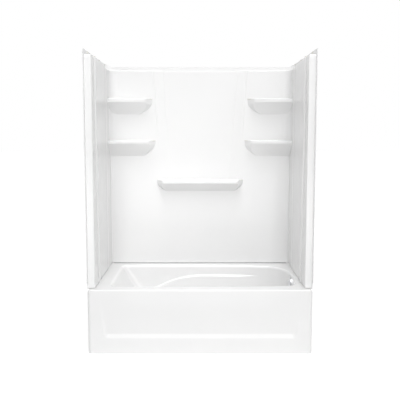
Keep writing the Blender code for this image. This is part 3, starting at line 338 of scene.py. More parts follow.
def rounded(points, radii, steps):
    """A polyline with its corners turned into arcs of the given radii."""
    made = [np.array(points[0], float)]
    for before, here, after, radius in zip(points, points[1:], points[2:], radii):
        before, here, after = (np.array(p, float) for p in (before, here, after))
        back = (before - here) / np.linalg.norm(before - here)
        on = (after - here) / np.linalg.norm(after - here)
        half_angle = math.acos(clamp(float(back @ on), -1.0, 1.0)) / 2.0
        if radius <= 0.0 or half_angle > STRAIGHT:
            made.append(here)
            continue
        reach = radius / math.tan(half_angle)
        middle = here + (back + on) / np.linalg.norm(back + on) * radius / math.sin(half_angle)
        start = here + back * reach - middle
        end = here + on * reach - middle
        sweep = math.pi - 2.0 * half_angle
        for i in range(steps + 1):
            t = i / steps
            a = math.sin((1.0 - t) * sweep) / math.sin(sweep)
            b = math.sin(t * sweep) / math.sin(sweep)
            made.append(middle + a * start + b * end)
    made.append(np.array(points[-1], float))
    return np.array(made)


def spread(line, longest):
    """The polyline with its long pieces divided."""
    made = [line[0]]
    for a, b in zip(line, line[1:]):
        parts = max(1, math.ceil(float(np.linalg.norm(b - a)) / longest))
        made += [mix(a, b, i / parts) for i in range(1, parts + 1)]
    return np.array(made)


# Meshes

class Sheet:
    """Gathers grids of points into one thin skin."""

    def __init__(self):
        self.points = []
        self.faces = []
        self.count = 0

    def add(self, rows, closed=False, keep=None):
        rows = np.asarray(rows, float)
        high, wide = rows.shape[:2]
        base = self.count
        self.points.append(rows.reshape(-1, 3))
        self.count += high * wide
        last = wide if closed else wide - 1
        for r in range(high - 1):
            for c in range(last):
                if keep is None or keep(r, c):
                    n = (c + 1) % wide
                    self.faces.append((base + r * wide + c, base + r * wide + n,
                                       base + (r + 1) * wide + n, base + (r + 1) * wide + c))

    def shell(self, name, thickness, spot, facing, materials, lowest):
        """Close the skin behind its visible side, which faces a given way at a spot."""
        mesh = bpy.data.meshes.new(name)
        mesh.from_pydata(np.vstack(self.points).tolist(), [], self.faces)
        bm = bmesh.new()
        bm.from_mesh(mesh)
        bmesh.ops.remove_doubles(bm, verts=bm.verts, dist=MERGE_DISTANCE)
        bmesh.ops.dissolve_degenerate(bm, dist=SHORTEST_EDGE, edges=bm.edges)
        bmesh.ops.recalc_face_normals(bm, faces=bm.faces)
        sample = min(bm.faces, key=lambda f: (f.calc_center_median() - Vector(spot)).length)
        if sample.normal.dot(Vector(facing)) < 0:
            bmesh.ops.reverse_faces(bm, faces=bm.faces)
        bm.to_mesh(mesh)
        bm.free()
        made = bpy.data.objects.new(name, mesh)
        bpy.context.scene.collection.objects.link(made)
        for skin in materials:
            mesh.materials.append(skin)
        wall = made.modifiers.new("thickness", "SOLIDIFY")
        wall.thickness = thickness
        wall.offset = -1.0
        wall.use_rim = True
        wall.material_offset = 1
        bake(made)
        keep_in_box(made, lowest)
        smooth(made)
        return made


def bake(obj):
    """Replace an object's mesh by what its modifiers make of it."""
    depsgraph = bpy.context.evaluated_depsgraph_get()
    baked = bpy.data.meshes.new_from_object(obj.evaluated_get(depsgraph))
    obj.modifiers.clear()
    obj.data = baked


def keep_in_box(obj, lowest):
    co = np.zeros(len(obj.data.vertices) * 3)
    obj.data.vertices.foreach_get("co", co)
    floor = np.array((cad_low.x, cad_low.y, lowest))
    co = np.clip(co.reshape(-1, 3), floor, np.array(cad_high))
    obj.data.vertices.foreach_set("co", co.ravel())
    obj.data.update()


def smooth(obj):
    obj.data.shade_smooth()
    obj.data.set_sharp_from_angle(angle=SHARP_ANGLE)


def drill(obj, radius, start, end):
    """Cut a round hole through a shell."""
    turn = (end - start).to_track_quat("Z", "Y").to_matrix().to_4x4()
    bm = bmesh.new()
    bmesh.ops.create_cone(bm, cap_ends=True, segments=HOLE_STEPS, radius1=radius,
                          radius2=radius, depth=(end - start).length,
                          matrix=Matrix.Translation((start + end) / 2) @ turn)
    mesh = bpy.data.meshes.new("drill")
    bm.to_mesh(mesh)
    bm.free()
    tool = bpy.data.objects.new("drill", mesh)
    bpy.context.scene.collection.objects.link(tool)
    cut = obj.modifiers.new("hole", "BOOLEAN")
    cut.operation = "DIFFERENCE"
    cut.solver = "MANIFOLD"
    cut.object = tool
    bake(obj)
    bpy.data.objects.remove(tool, do_unlink=True)
    smooth(obj)


# Bath

def crest_z(x):
    reach = np.maximum(0.0, LEDGE_BEND_X - x)
    bend = np.minimum(reach, LEDGE_BEND_LENGTH)
    fall = LEDGE_BEND * bend * bend + LEDGE_SLOPE * (reach - bend)
    return -soft_min(fall - LEDGE_Z, -LEDGE_LOW_Z, LEDGE_LOW_ROUNDING)


def ledge_share(x):
    """1 along the ledge and 0 near the drain end, where it has run out into the wall."""
    start, end = LEDGE_FADE_X
    t = np.clip((end - x) / (end - start), 0.0, 1.0)
    return t * t * (3.0 - 2.0 * t)


def floor_z(x):
    return FLOOR_Z + FLOOR_FALL * np.maximum(0.0, DRAIN_X - FLOOR_LEVEL_RUN - x)


def recess_edge_x(z):
    return RECESS_EDGE_X - RECESS_EDGE_SLANT * (RECESS_EDGE_Z - z)


def front_stations(z):
    """X of the apron's mesh lines at a height; they follow the slanted ends of its panel."""
    edge = recess_edge_x(z)
    inner = edge - RECESS_EDGE_WIDTH
    corner_x = HALF - APRON_CORNER_R
    border = np.linspace(-corner_x, -edge - RAMP_MARGIN, BORDER_LINES, endpoint=False)
    ramp = np.linspace(-edge - RAMP_MARGIN, -inner + RAMP_MARGIN, RAMP_LINES, endpoint=False)
    middle = np.linspace(-inner + RAMP_MARGIN, inner - RAMP_MARGIN, MIDDLE_LINES)
    return np.concatenate([border, ramp, middle, -ramp[::-1], -border[::-1]])


FRONT_FRACTIONS = (front_stations(RECESS_EDGE_Z) / (HALF - APRON_CORNER_R) + 1.0) / 2.0
END_FRACTIONS = np.concatenate([[0.0, 0.02], np.linspace(0.04, 1.0, END_LINES - 2)])
CORNER_FRACTIONS = np.arange(1, CORNER_LINES + 1) / (CORNER_LINES + 1)
LONG_LINES = len(FRONT_FRACTIONS)
RING = 2 * LONG_LINES + 2 * END_LINES + 4 * CORNER_LINES


def bezier(start, start_way, end, end_way, t):
    """Points of a corner's curve, one for each entry of its arrays."""
    handle = QUARTER_TURN_HANDLE * np.linalg.norm(end - start, axis=1) / math.sqrt(2.0)
    first = start + handle[:, None] * start_way
    second = end - handle[:, None] * end_way
    t = t[:, None]
    return ((1 - t) ** 3 * start + 3 * (1 - t) ** 2 * t * first
            + 3 * (1 - t) * t ** 2 * second + t ** 3 * end)


def unit(x, d):
    way = np.stack([x, d], axis=1)
    return way / np.linalg.norm(way, axis=1)[:, None]


def bath_outline(z, inset=0.0, step=0.0):
    """(x, d) of the bath's inside for each point of a ring, at the heights given for them."""
    z = np.broadcast_to(np.asarray(z, float), (RING,))
    fall = DECK_Z - ROLL - z
    left = OPEN_LEFT + BACKREST_SLOPE * fall + inset
    right = OPEN_RIGHT - DRAIN_END_SLOPE * fall - inset
    front = OPEN_FRONT_D + LONG_WALL_SLOPE * fall + inset
    back = OPEN_BACK_D - LONG_WALL_SLOPE * fall - inset

    def inset_radius(radius):
        return np.maximum(OPEN_RADIUS_LEAST, radius - OPEN_RADIUS_PER_INSET * inset)

    grown = OPEN_RADIUS_LEFT + OPEN_RADIUS_GROWTH * np.maximum(0.0, fall)
    round_left = inset_radius(np.minimum(grown, OPEN_RADIUS_LEFT_MOST))
    round_front = inset_radius(OPEN_RADIUS_RIGHT_FRONT)
    round_back = inset_radius(OPEN_RADIUS_RIGHT_BACK - OPEN_RADIUS_BACK_LOSS * fall)
    near = left + round_left
    far_front = right - SIDE_BOW - round_front
    far_back = right - SIDE_BOW - round_back

    def long_d(x, d, bow):
        return d + bow * np.abs(x - BOW_X) ** 3 + math.copysign(1.0, bow) * step * ledge_share(x)

    def long_slope(x, bow):
        return 3.0 * bow * np.sign(x - BOW_X) * (x - BOW_X) ** 2

    front_near, front_far = long_d(near, front, FRONT_BOW), long_d(far_front, front, FRONT_BOW)
    back_near, back_far = long_d(near, back, -BACK_BOW), long_d(far_back, back, -BACK_BOW)
    points = np.zeros((RING, 2))
    at = 0

    def take(count):
        nonlocal at
        chosen = slice(at, at + count)
        at += count
        return chosen

    def end_x(x, t, bow):
        return x - bow * (2.0 * t - 1.0) ** 4

    def corner(start_x, start_d, way_in, end_x_, end_d, way_out):
        s = take(CORNER_LINES)
        points[s] = bezier(np.stack([start_x[s], start_d[s]], 1), way_in[s],
                           np.stack([end_x_[s], end_d[s]], 1), way_out[s], CORNER_FRACTIONS)

    ones = np.ones(RING)
    s = take(LONG_LINES)
    x = mix(near[s], far_front[s], FRONT_FRACTIONS)
    points[s] = np.stack([x, long_d(x, front[s], FRONT_BOW)], 1)
    low, high = front_far + round_front, back_far - round_back
    corner(far_front, front_far, unit(ones, long_slope(far_front, FRONT_BOW)),
           right - SIDE_BOW, low, unit(8.0 * SIDE_BOW * ones, high - low))
    s = take(END_LINES)
    points[s] = np.stack([end_x(right[s], END_FRACTIONS, SIDE_BOW),
                          mix(low[s], high[s], END_FRACTIONS)], 1)
    corner(right - SIDE_BOW, high, unit(-8.0 * SIDE_BOW * ones, high - low),
           far_back, back_far, unit(-ones, -long_slope(far_back, -BACK_BOW)))
    s = take(LONG_LINES)
    x = mix(near[s], far_back[s], FRONT_FRACTIONS[::-1])
    points[s] = np.stack([x, long_d(x, back[s], -BACK_BOW)], 1)
    low, high = front_near + round_left, back_near - round_left
    corner(near, back_near, unit(-ones, -long_slope(near, -BACK_BOW)),
           left, high, unit(0.0 * ones, low - high))
    s = take(END_LINES)
    points[s] = np.stack([left[s], mix(low[s], high[s], END_FRACTIONS[::-1])], 1)
    corner(left, low, unit(0.0 * ones, low - high),
           near, front_near, unit(ones, long_slope(near, FRONT_BOW)))
    return points


def ring_at(z, inset=0.0, step=0.0):
    flat = bath_outline(z, inset, step)
    return spots(flat[:, 0], flat[:, 1], z)


def crest_heights(lift, step):
    """Height of a ring that follows the ledge, at each of its points."""
    x = bath_outline(LEDGE_Z + lift, 0.0, step)[:, 0]
    for _ in range(3):
        z = crest_z(x) + lift
        x = bath_outline(z, 0.0, step)[:, 0]
    return z


def floor_ring(rise, inset):
    flat = bath_outline(FLOOR_Z + rise, inset, LEDGE_STEP)
    return spots(flat[:, 0], flat[:, 1], floor_z(flat[:, 0]) + rise)


def drain_ring(radius, z):
    flat = bath_outline(FLOOR_Z, 0.0, LEDGE_STEP)
    angle = np.arctan2(flat[:, 1] - DRAIN_D, flat[:, 0] - DRAIN_X)
    return spots(DRAIN_X + radius * np.cos(angle), DRAIN_D + radius * np.sin(angle), z)


def bath_rings():
    """Rings up the inside of the bath, from the drain's hole to the deck."""
    rings = [drain_ring(mix(DRAIN_HOLE_R, DRAIN_SEAT_R, t), DRAIN_SEAT_Z) for t in SEAT_SHARES]
    seat = drain_ring(DRAIN_SEAT_R, DRAIN_SEAT_Z + DRAIN_SEAT_LIP)
    flat = floor_ring(0.0, FLOOR_FILLET)
    for t in np.linspace(0.0, 1.0, FLOOR_ROWS) ** FLOOR_SPACING_POWER:
        rings.append(mix(seat, flat, t))
    for angle in np.radians(np.linspace(10, 90, WALL_ROWS)):
        rings.append(floor_ring(FLOOR_FILLET * (1 - math.cos(angle)),
                                FLOOR_FILLET * (1 - math.sin(angle))))
    wall_foot = bath_outline(FLOOR_Z + FLOOR_FILLET, 0.0, LEDGE_STEP)
    fillet_top = floor_z(wall_foot[:, 0]) + FLOOR_FILLET
    ledge_foot = crest_heights(-LEDGE_BELOW, LEDGE_STEP)
    for t in np.linspace(0.0, 1.0, WALL_ROWS)[1:]:
        rings.append(ring_at(mix(fillet_top, ledge_foot, t), 0.0, LEDGE_STEP))
    ledge = rounded([(0.0, -LEDGE_BELOW), (0.0, 0.0), (LEDGE_STEP, LEDGE_RISE),
                     (LEDGE_STEP, LEDGE_ABOVE)], [LEDGE_CREST_R, LEDGE_INNER_R], ARC_STEPS)
    for out, lift in ledge[1:]:
        rings.append(ring_at(crest_heights(lift, LEDGE_STEP - out), 0.0, LEDGE_STEP - out))
    ledge_top = crest_heights(LEDGE_ABOVE, 0.0)
    for t in np.linspace(0.0, 1.0, WALL_ROWS)[1:]:
        rings.append(ring_at(mix(ledge_top, DECK_Z - ROLL, t)))
    for angle in np.radians(np.linspace(0, 90, ROLL_ROWS))[1:]:
        rings.append(ring_at(DECK_Z - ROLL * (1 - math.sin(angle)), -ROLL * (1 - math.cos(angle))))
    return rings


def deck_edge():
    """Where the deck ends: x, d, outward x, outward d, edge radius and 1 for the upstand."""
    rows = []
    corner_x = HALF - APRON_CORNER_R
    for x in front_stations(RECESS_EDGE_Z):
        rows.append((x, 0.0, 0.0, -1.0, RIM_FRONT_R, 0))
    turns = np.arange(1, CORNER_LINES + 1) / CORNER_LINES
    front_corner = []
    back_corner = []
    for t in turns:
        a = math.radians(90 * t)
        front_corner.append((corner_x + APRON_CORNER_R * math.sin(a),
                             APRON_CORNER_R * (1 - math.cos(a)), math.sin(a), -math.cos(a),
                             mix(RIM_FRONT_R, RIM_END_R, t), 0))
        back_corner.append((UPSTAND_X - UPSTAND_CORNER_R * (1 - math.cos(a)),
                            UPSTAND_D - UPSTAND_CORNER_R * (1 - math.sin(a)),
                            math.cos(a), math.sin(a), UPSTAND_FILLET, 1))
    rows += front_corner
    side = np.linspace(UPSTAND_START_D, UPSTAND_D - UPSTAND_CORNER_R, END_LINES - 1)
    right = [(HALF, APRON_RETURN_D, 1.0, 0.0, RIM_END_R, 0)]
    right += [(UPSTAND_X, d, 1.0, 0.0, UPSTAND_FILLET, 1) for d in side]
    rows += right + back_corner
    back_x = UPSTAND_X - UPSTAND_CORNER_R
    xs = mix(-back_x, back_x, FRONT_FRACTIONS)[::-1]
    rows += [(x, UPSTAND_D, 0.0, 1.0, UPSTAND_FILLET, 1) for x in xs]

    def mirrored(part):
        return [(-x, d, -out_x, out_d, r, kind) for x, d, out_x, out_d, r, kind in part[::-1]]

    rows += mirrored(back_corner) + mirrored(right) + mirrored(front_corner)
    return np.array(rows, float)


def rim_edge(edge, angle, sign):
    """A row of the edge's quarter round, which falls to the skirt or rises to the upstand."""
    radius = edge[:, 4]
    reach = radius * (math.sin(angle) - 1.0)
    return spots(edge[:, 0] + reach * edge[:, 2], edge[:, 1] + reach * edge[:, 3],
                 DECK_Z + sign * radius * (1.0 - math.cos(angle)))


def recess_depth(x, z):
    across = soft_ramp((recess_edge_x(z) - np.abs(x)) / RECESS_EDGE_WIDTH, RECESS_EDGE_ROUNDING)
    from_top = soft_ramp((RECESS_TOP_Z - z) / (RECESS_TOP_Z - RECESS_BOTTOM_Z),
                         RECESS_TOP_ROUNDING)
    from_foot = soft_ramp((z - BEVEL_FOOT_Z) / (RECESS_BOTTOM_Z - BEVEL_FOOT_Z), BEVEL_ROUNDING)
    return RECESS_DEPTH * across * soft_min(from_top, from_foot, BEVEL_BLEND)


def skirt_rows(edge):
    rows = [rim_edge(edge, angle, -1.0) for angle in np.radians(np.linspace(0, 90, RIM_ROWS))]
    is_front = edge[:, 3] == -1.0
    for z in SKIRT_LEVELS:
        x = edge[:, 0].copy()
        d = edge[:, 1].copy()
        x[is_front] = front_stations(z)
        d[is_front] += recess_depth(x[is_front], z)
        rows.append(spots(x, d, z))
    return rows


def build_tub(materials):
    edge = deck_edge()
    rings = bath_rings()
    deck = rim_edge(edge, 0.0, 1.0)
    inner = rings[-1]
    for t in DECK_SHARES:
        rings.append(mix(inner, deck, t))
    sheet = Sheet()
    sheet.add(rings, closed=True)
    is_upstand = edge[:, 5] == 1
    first = int(np.argmax(is_upstand))
    order = np.roll(np.arange(RING), -first)
    turned = is_upstand[order]
    upstand = order[turned]
    skirt = order[~turned]
    rows = skirt_rows(edge[skirt])
    front = edge[skirt][:, 3] == -1.0
    foot = rows[-1][front]
    sheet.add(rows)
    sheet.add([foot, spots(foot[:, 0], APRON_FOOT_D, foot[:, 2])])
    rows = [rim_edge(edge[upstand], angle, 1.0)
            for angle in np.radians(np.linspace(0, 90, UPSTAND_ROWS))]
    for z in np.linspace(DECK_Z + UPSTAND_FILLET, UPSTAND_TOP_Z, 4)[1:]:
        rows.append(spots(edge[upstand][:, 0], edge[upstand][:, 1], z))
    sheet.add(rows)
    tub = sheet.shell("bath_and_apron", SHELL_T, (0.0, y_at(0.04), DECK_Z), (0, 0, 1), materials,
                      0.0)
    centre = Vector((OPEN_RIGHT - DRAIN_END_SLOPE * (DECK_Z - ROLL - OVERFLOW_Z),
                     y_at(DRAIN_D), OVERFLOW_Z))
    outward = Vector((1.0, 0.0, -DRAIN_END_SLOPE)).normalized()
    drill(tub, OVERFLOW_HOLE_R, centre - OVERFLOW_DRILL * outward,
          centre + OVERFLOW_DRILL * outward)
    return tub


# Wall panels

def plan_normals(plan, flip):
    ahead = np.roll(plan, -1, axis=0) - plan
    ahead[-1] = ahead[-2]
    behind = np.vstack([ahead[:1], ahead[:-1]])
    way = ahead / np.linalg.norm(ahead, axis=1)[:, None]
    way = way + behind / np.linalg.norm(behind, axis=1)[:, None]
    way = way / np.linalg.norm(way, axis=1)[:, None]
    return flip * np.stack([-way[:, 1], way[:, 0]], axis=1)


def build_side(name, side, materials):
    """A side panel. Its plan runs from the front of the nailing flange back to the seam."""
    flange = np.stack([np.full(FLANGE_LINES, FLANGE_X),
                       np.linspace(0.0, COLUMN_FACE_D - COLUMN_STEP, FLANGE_LINES)], 1)
    path = rounded([(FLANGE_X, COLUMN_FACE_D - COLUMN_STEP), (FLANGE_X, COLUMN_FACE_D),
                    (COLUMN_INNER_X, COLUMN_FACE_D),
                    (COLUMN_INNER_X + BEAD_OUT, BEAD_D - BEAD_RUN),
                    (COLUMN_INNER_X - BEAD_IN, BEAD_D), (WALL_X, BEAD_D + BEAD_EASE),
                    (WALL_X, SEAM_D), (SEAM_FLANGE_OUT, SEAM_D)],
                   [COLUMN_STEP_R, COLUMN_EDGE_R, BEAD_FOOT_R, BEAD_CREST_R, BEAD_EASE_R,
                    SEAM_EDGE_R], ARC_STEPS)
    path = spread(path, SIDE_LONGEST)
    plan = np.vstack([flange, path[1:]])
    normals = plan_normals(plan, 1.0)
    on_flange = plan[:, 0] > FLANGE_X - TINY
    on_column = ((plan[:, 1] < COLUMN_FACE_D + COLUMN_FACE_BAND)
                 & (plan[:, 0] < FLANGE_X - PANEL_T))
    at_seam = plan[:, 1] > SEAM_D - TINY
    pull = normals.copy()
    pull[on_flange] = 0.0
    pull[at_seam] = (-1.0, 0.0)
    outer = np.stack([np.full(len(plan), FLANGE_X), plan[:, 1]], 1)
    leaning = (np.clip((plan[:, 1] - COLUMN_FACE_D - LEAN_STARTS) / LEAN_GROWS, 0.0, 1.0)
               * np.clip((SEAM_D - LEAN_ENDS - plan[:, 1]) / LEAN_SHRINKS, 0.0, 1.0))

    def row(points, z):
        lean = COLUMN_LEAN * max(0.0, COLUMN_LEAN_FROM_Z - z) * leaning
        return spots(side * np.minimum(points[:, 0], FLANGE_X), points[:, 1] + lean, z)

    rows = []
    fade = np.clip((COLUMN_FACE_D + FOOT_EDGE_ENDS - plan[:, 1]) / FOOT_EDGE_FADES, 0.0, 1.0)
    foot_pull = pull * np.where(plan[:, 0] < FLANGE_X - FOOT_EDGE_CLEAR, fade, 0.0)[:, None]
    for angle in np.radians(np.linspace(0, 90, FOOT_ROWS)):
        rows.append(row(plan - COLUMN_FOOT_R * (1 - math.sin(angle)) * foot_pull,
                        PANEL_BOTTOM_Z + COLUMN_FOOT_R * (1 - math.cos(angle))))
    rows += [row(plan, z) for z in SIDE_LEVELS]
    for angle in np.radians(np.linspace(0, 90, TOP_ROWS)):
        rows.append(row(plan - EDGE_R * (1 - math.cos(angle)) * pull,
                        SIDE_MOULDED_TOP - EDGE_R * (1 - math.sin(angle))))
    eased = plan - EDGE_R * pull
    eased[:, 0] = np.minimum(eased[:, 0], FLANGE_X)
    outer[:, 1] = eased[:, 1]
    outer[on_column, 1] = np.maximum(outer[on_column, 1], COLUMN_FACE_D)
    for t in (0.5, 0.9):
        rows.append(row(mix(eased, outer, t), SIDE_MOULDED_TOP))
    rows.append(row(outer, SIDE_MOULDED_TOP + FLANGE_STEP_Z))
    for z in np.linspace(SIDE_MOULDED_TOP + 5 * FLANGE_STEP_Z, SIDE_FLANGE_TOP, 4):
        rows.append(row(outer, z))
    flange_row = FOOT_ROWS + SIDE_LEVELS.index(FLANGE_BOTTOM_Z)
    sheet = Sheet()
    sheet.add(rows, keep=lambda r, c: c >= FLANGE_LINES - 1 or r >= flange_row)
    return sheet.shell(name, PANEL_T, (side * WALL_X, y_at(0.3), 1.2), (-side, 0, 0), materials,
                       PANEL_BOTTOM_Z)


def wedge_end(shelf, end, foot_end, z):
    """X at which a wedge's end meets the wall at a height; the end bends in towards its foot."""
    _, lip, foot = shelf
    t = clamp((z - foot) / (lip - foot))
    return mix(foot_end, end, t * (2.0 - t))


def corner_shelf_end(z):
    """X of the corner shelves' free ends, and between the shelves of the line that joins them."""
    stations = [(CENTRE_SHELF[0], LOWER_SHELF_END[0] + SHELF_LINE_LOW_OUT)]
    for shelf, (end, foot_end) in ((LOWER_SHELF, LOWER_SHELF_END), (UPPER_SHELF, UPPER_SHELF_END)):
        top, _, foot = shelf
        if foot <= z <= top:
            return wedge_end(shelf, end, foot_end, z)
        stations += [(foot, foot_end), (top, end)]
    stations.append((BACK_MOULDED_TOP, TAPER_OUTER_X + SHELF_LINE_TOP_OUT))
    heights, ends = zip(*stations)
    return float(np.interp(z, heights, ends))


def centre_shelf_end(z):
    return wedge_end(CENTRE_SHELF, *CENTRE_SHELF_END, z)


def taper_outer(z):
    return TAPER_OUTER_X - TAPER_OUTER_SLANT * (BACK_FLANGE_TOP - z)


def taper_inner(z):
    return TAPER_INNER_X - TAPER_INNER_SLANT * (BACK_FLANGE_TOP - z)


def groove(offset, depth):
    """Depth of a round-edged groove at an offset from its middle line."""
    t = clamp(abs(offset) / GROOVE_HALF_WIDTH)
    return depth * (0.5 + 0.5 * math.cos(math.pi * t))


def taper_recess(x, z):
    if z < CENTRE_SHELF[0] - TAPER_FOOT_DROP:
        return 0.0
    outer = taper_outer(z)
    inner = taper_inner(z)
    low, high = GROOVE_FADE_Z
    cut = clamp((z - low) / (high - low))
    share = (outer - abs(x)) / (outer - inner)
    return (TAPER_DEPTH * float(soft_ramp(share, TAPER_ROUNDING))
            + cut * (groove(abs(x) - outer, OUTER_GROOVE) + groove(abs(x) - inner, INNER_GROOVE)))


def cove_radius(z):
    t = clamp((z - COVE_FADE_FOOT) / (COVE_FADE_TOP - COVE_FADE_FOOT))
    return mix(COVE_R_LOW, COVE_R, t * t * (3 - 2 * t))


def end_run(share):
    """Width of a shelf's slanted end where the shelf stands out by a share of its depth."""
    return max(SHELF_END_LEAST, SHELF_END_RUN * share)


def wall_stations(z, shelf, share):
    """X of the back wall's mesh lines at a height, from the cove to the middle."""
    cove_end = WALL_X - cove_radius(z)
    end = corner_shelf_end(z)
    corner_share, centre_share = (0.0, share) if shelf is CENTRE_SHELF else (share, 0.0)
    run = end_run(corner_share)
    lines = list(np.linspace(cove_end, end + run * END_LINES_AT[-1], COVE_TO_SHELF_LINES)[1:])
    lines += list(end + run * END_LINES_AT[::-1][1:])
    centre_end = centre_shelf_end(z)
    low = centre_end - end_run(centre_share) * END_LINES_AT
    outer, inner = taper_outer(z) + GROOVE_LINES, taper_inner(z) - GROOVE_LINES[::-1]
    high = np.concatenate([outer, mix(outer[-1], inner[0], np.array([0.25, 0.5, 0.75])), inner])
    high[0] = max(high[0], centre_end)
    middle = mix(low, high, 1.0 - centre_share if z >= CENTRE_SHELF[0] else 0.0)
    lines += list(np.linspace(lines[-1], middle[0], SHELF_TO_TAPER_LINES)[1:])
    lines += list(middle[1:])
    lines += list(np.linspace(middle[-1], 0.0, CENTRE_LINES)[1:-1])
    return lines


def end_share(inward, share):
    """How far out a shelf's slanted end stands; it leaves the wall sharply and turns softly."""
    t = inward / end_run(share)
    return clamp(t) if t < 0.5 else float(soft_ramp(t, SHELF_END_ROUNDING))


def corner_depth(x):
    """Depth of a corner shelf, which grows from its free end towards the side wall."""
    start = UPPER_SHELF_END[0] + SHELF_END_RUN
    t = clamp((x - start) / (SHELF_FULL_DEPTH_X - start))
    return mix(SHELF_CORNER_DEPTH, SHELF_DEPTH, t * (2.0 - t))


def half_plan(z, shelf, share):
    """Plan of the back panel's right half at a height, with one shelf standing out by a share."""
    seam = SEAM_D + SEAM_SEAL_T
    radius = cove_radius(z)
    start = rounded([(SEAM_FLANGE_OUT, seam), (WALL_X, seam), (WALL_X, WALL_D - COVE_R)],
                    [SEAM_EDGE_R], ARC_STEPS)
    points = [tuple(p) for p in start[:-1]]
    points += [(WALL_X, mix(start[-2][1], WALL_D - radius, t)) for t in (0.25, 0.5, 0.75, 1.0)]
    for i in range(1, COVE_STEPS + 1):
        a = math.radians(90 * i / COVE_STEPS)
        points.append((WALL_X - radius * (1 - math.cos(a)), WALL_D - radius * (1 - math.sin(a))))
    flat_from = len(points)
    points += [(x, WALL_D) for x in wall_stations(z, shelf, share)]
    plan = []
    for i, (x, d) in enumerate(points):
        reach = 0.0
        if shelf is CENTRE_SHELF:
            reach = SHELF_DEPTH * share * end_share(centre_shelf_end(z) - abs(x), share)
        elif shelf is not None:
            reach = corner_depth(abs(x)) * share * end_share(abs(x) - corner_shelf_end(z), share)
        back = taper_recess(x, z) if i >= flat_from else 0.0
        plan.append((x, min(d + back, WALL_D - reach) if reach > 0.0 else d + back))
    return plan


def full_plan(z, shelf=None, share=0.0):
    """Plan of the whole back panel at a height, from the right seam to the left one."""
    half = half_plan(z, shelf, share)
    reach = SHELF_DEPTH * share if shelf is CENTRE_SHELF else 0.0
    middle = (0.0, WALL_D - reach if reach > 0.0 else WALL_D + taper_recess(0.0, z))
    return np.array(half + [middle] + [(-x, d) for x, d in half[::-1]])


def shelf_profile(shelf):
    """(height, share of the depth) up a shelf's section, from its foot to the wall above it."""
    top, lip, foot = shelf
    line = rounded([(foot - BELOW_SHELF, 0.0), (foot, 0.0), (lip, SHELF_DEPTH),
                    (top, SHELF_DEPTH), (top, 0.0), (top + ABOVE_SHELF, 0.0)],
                   [WEDGE_FOOT_R, LIP_FOOT_R, LIP_TOP_R, SHELF_BACK_R], ARC_STEPS - 1)
    line = spread(line[1:-1], PROFILE_LONGEST)
    return [(z, reach / SHELF_DEPTH) for z, reach in line]


def back_levels():
    """(height, shelf, share) for each row of the back panel, upwards."""
    levels = []
    start = PANEL_BOTTOM_Z + BACK_FOOT_R
    for shelf in (CENTRE_SHELF, LOWER_SHELF, UPPER_SHELF):
        profile = shelf_profile(shelf)
        count = max(3, math.ceil((profile[0][0] - start) / BACK_LONGEST))
        levels += [(z, None, 0.0) for z in np.linspace(start, profile[0][0], count + 1)[:-1]]
        levels += [(z, shelf, share) for z, share in profile]
        start = profile[-1][0] + OVER_PROFILE
    levels += [(z, None, 0.0) for z in np.linspace(start, BACK_MOULDED_TOP - BACK_TOP_R, 12)[:-1]]
    return levels


def flange_plan(plan, cove_from, flat_from):
    """Plan of the back panel's nailing flange, point for point with its top edge."""
    half = len(plan) // 2
    turn = rounded([(FLANGE_X, WALL_D - COVE_R), (FLANGE_X, FLANGE_D), (FLANGE_SLOPE_X, FLANGE_D)],
                   [FLANGE_CORNER_R], ARC_STEPS)
    lengths = np.concatenate([[0.0], np.cumsum(np.linalg.norm(np.diff(turn, axis=0), axis=1))])
    made = np.zeros((half, 2))
    for i in range(half):
        x, d = plan[i]
        if i < cove_from:
            made[i] = (FLANGE_X, min(d, WALL_D - COVE_R))
        elif i < flat_from:
            s = lengths[-1] * (i - cove_from + 1) / (flat_from - cove_from)
            made[i] = (np.interp(s, lengths, turn[:, 0]), np.interp(s, lengths, turn[:, 1]))
        else:
            made[i] = (min(x, FLANGE_SLOPE_X), FLANGE_D)
    mirror = made[::-1] * np.array([-1.0, 1.0])
    return np.vstack([made, [[0.0, FLANGE_D]], mirror])


def back_flange_top(x):
    share = np.clip((np.abs(x) - FLANGE_SLOPE_X) / (FLANGE_X - FLANGE_SLOPE_X), 0.0, 1.0)
    return mix(BACK_FLANGE_TOP, SIDE_FLANGE_TOP, share)


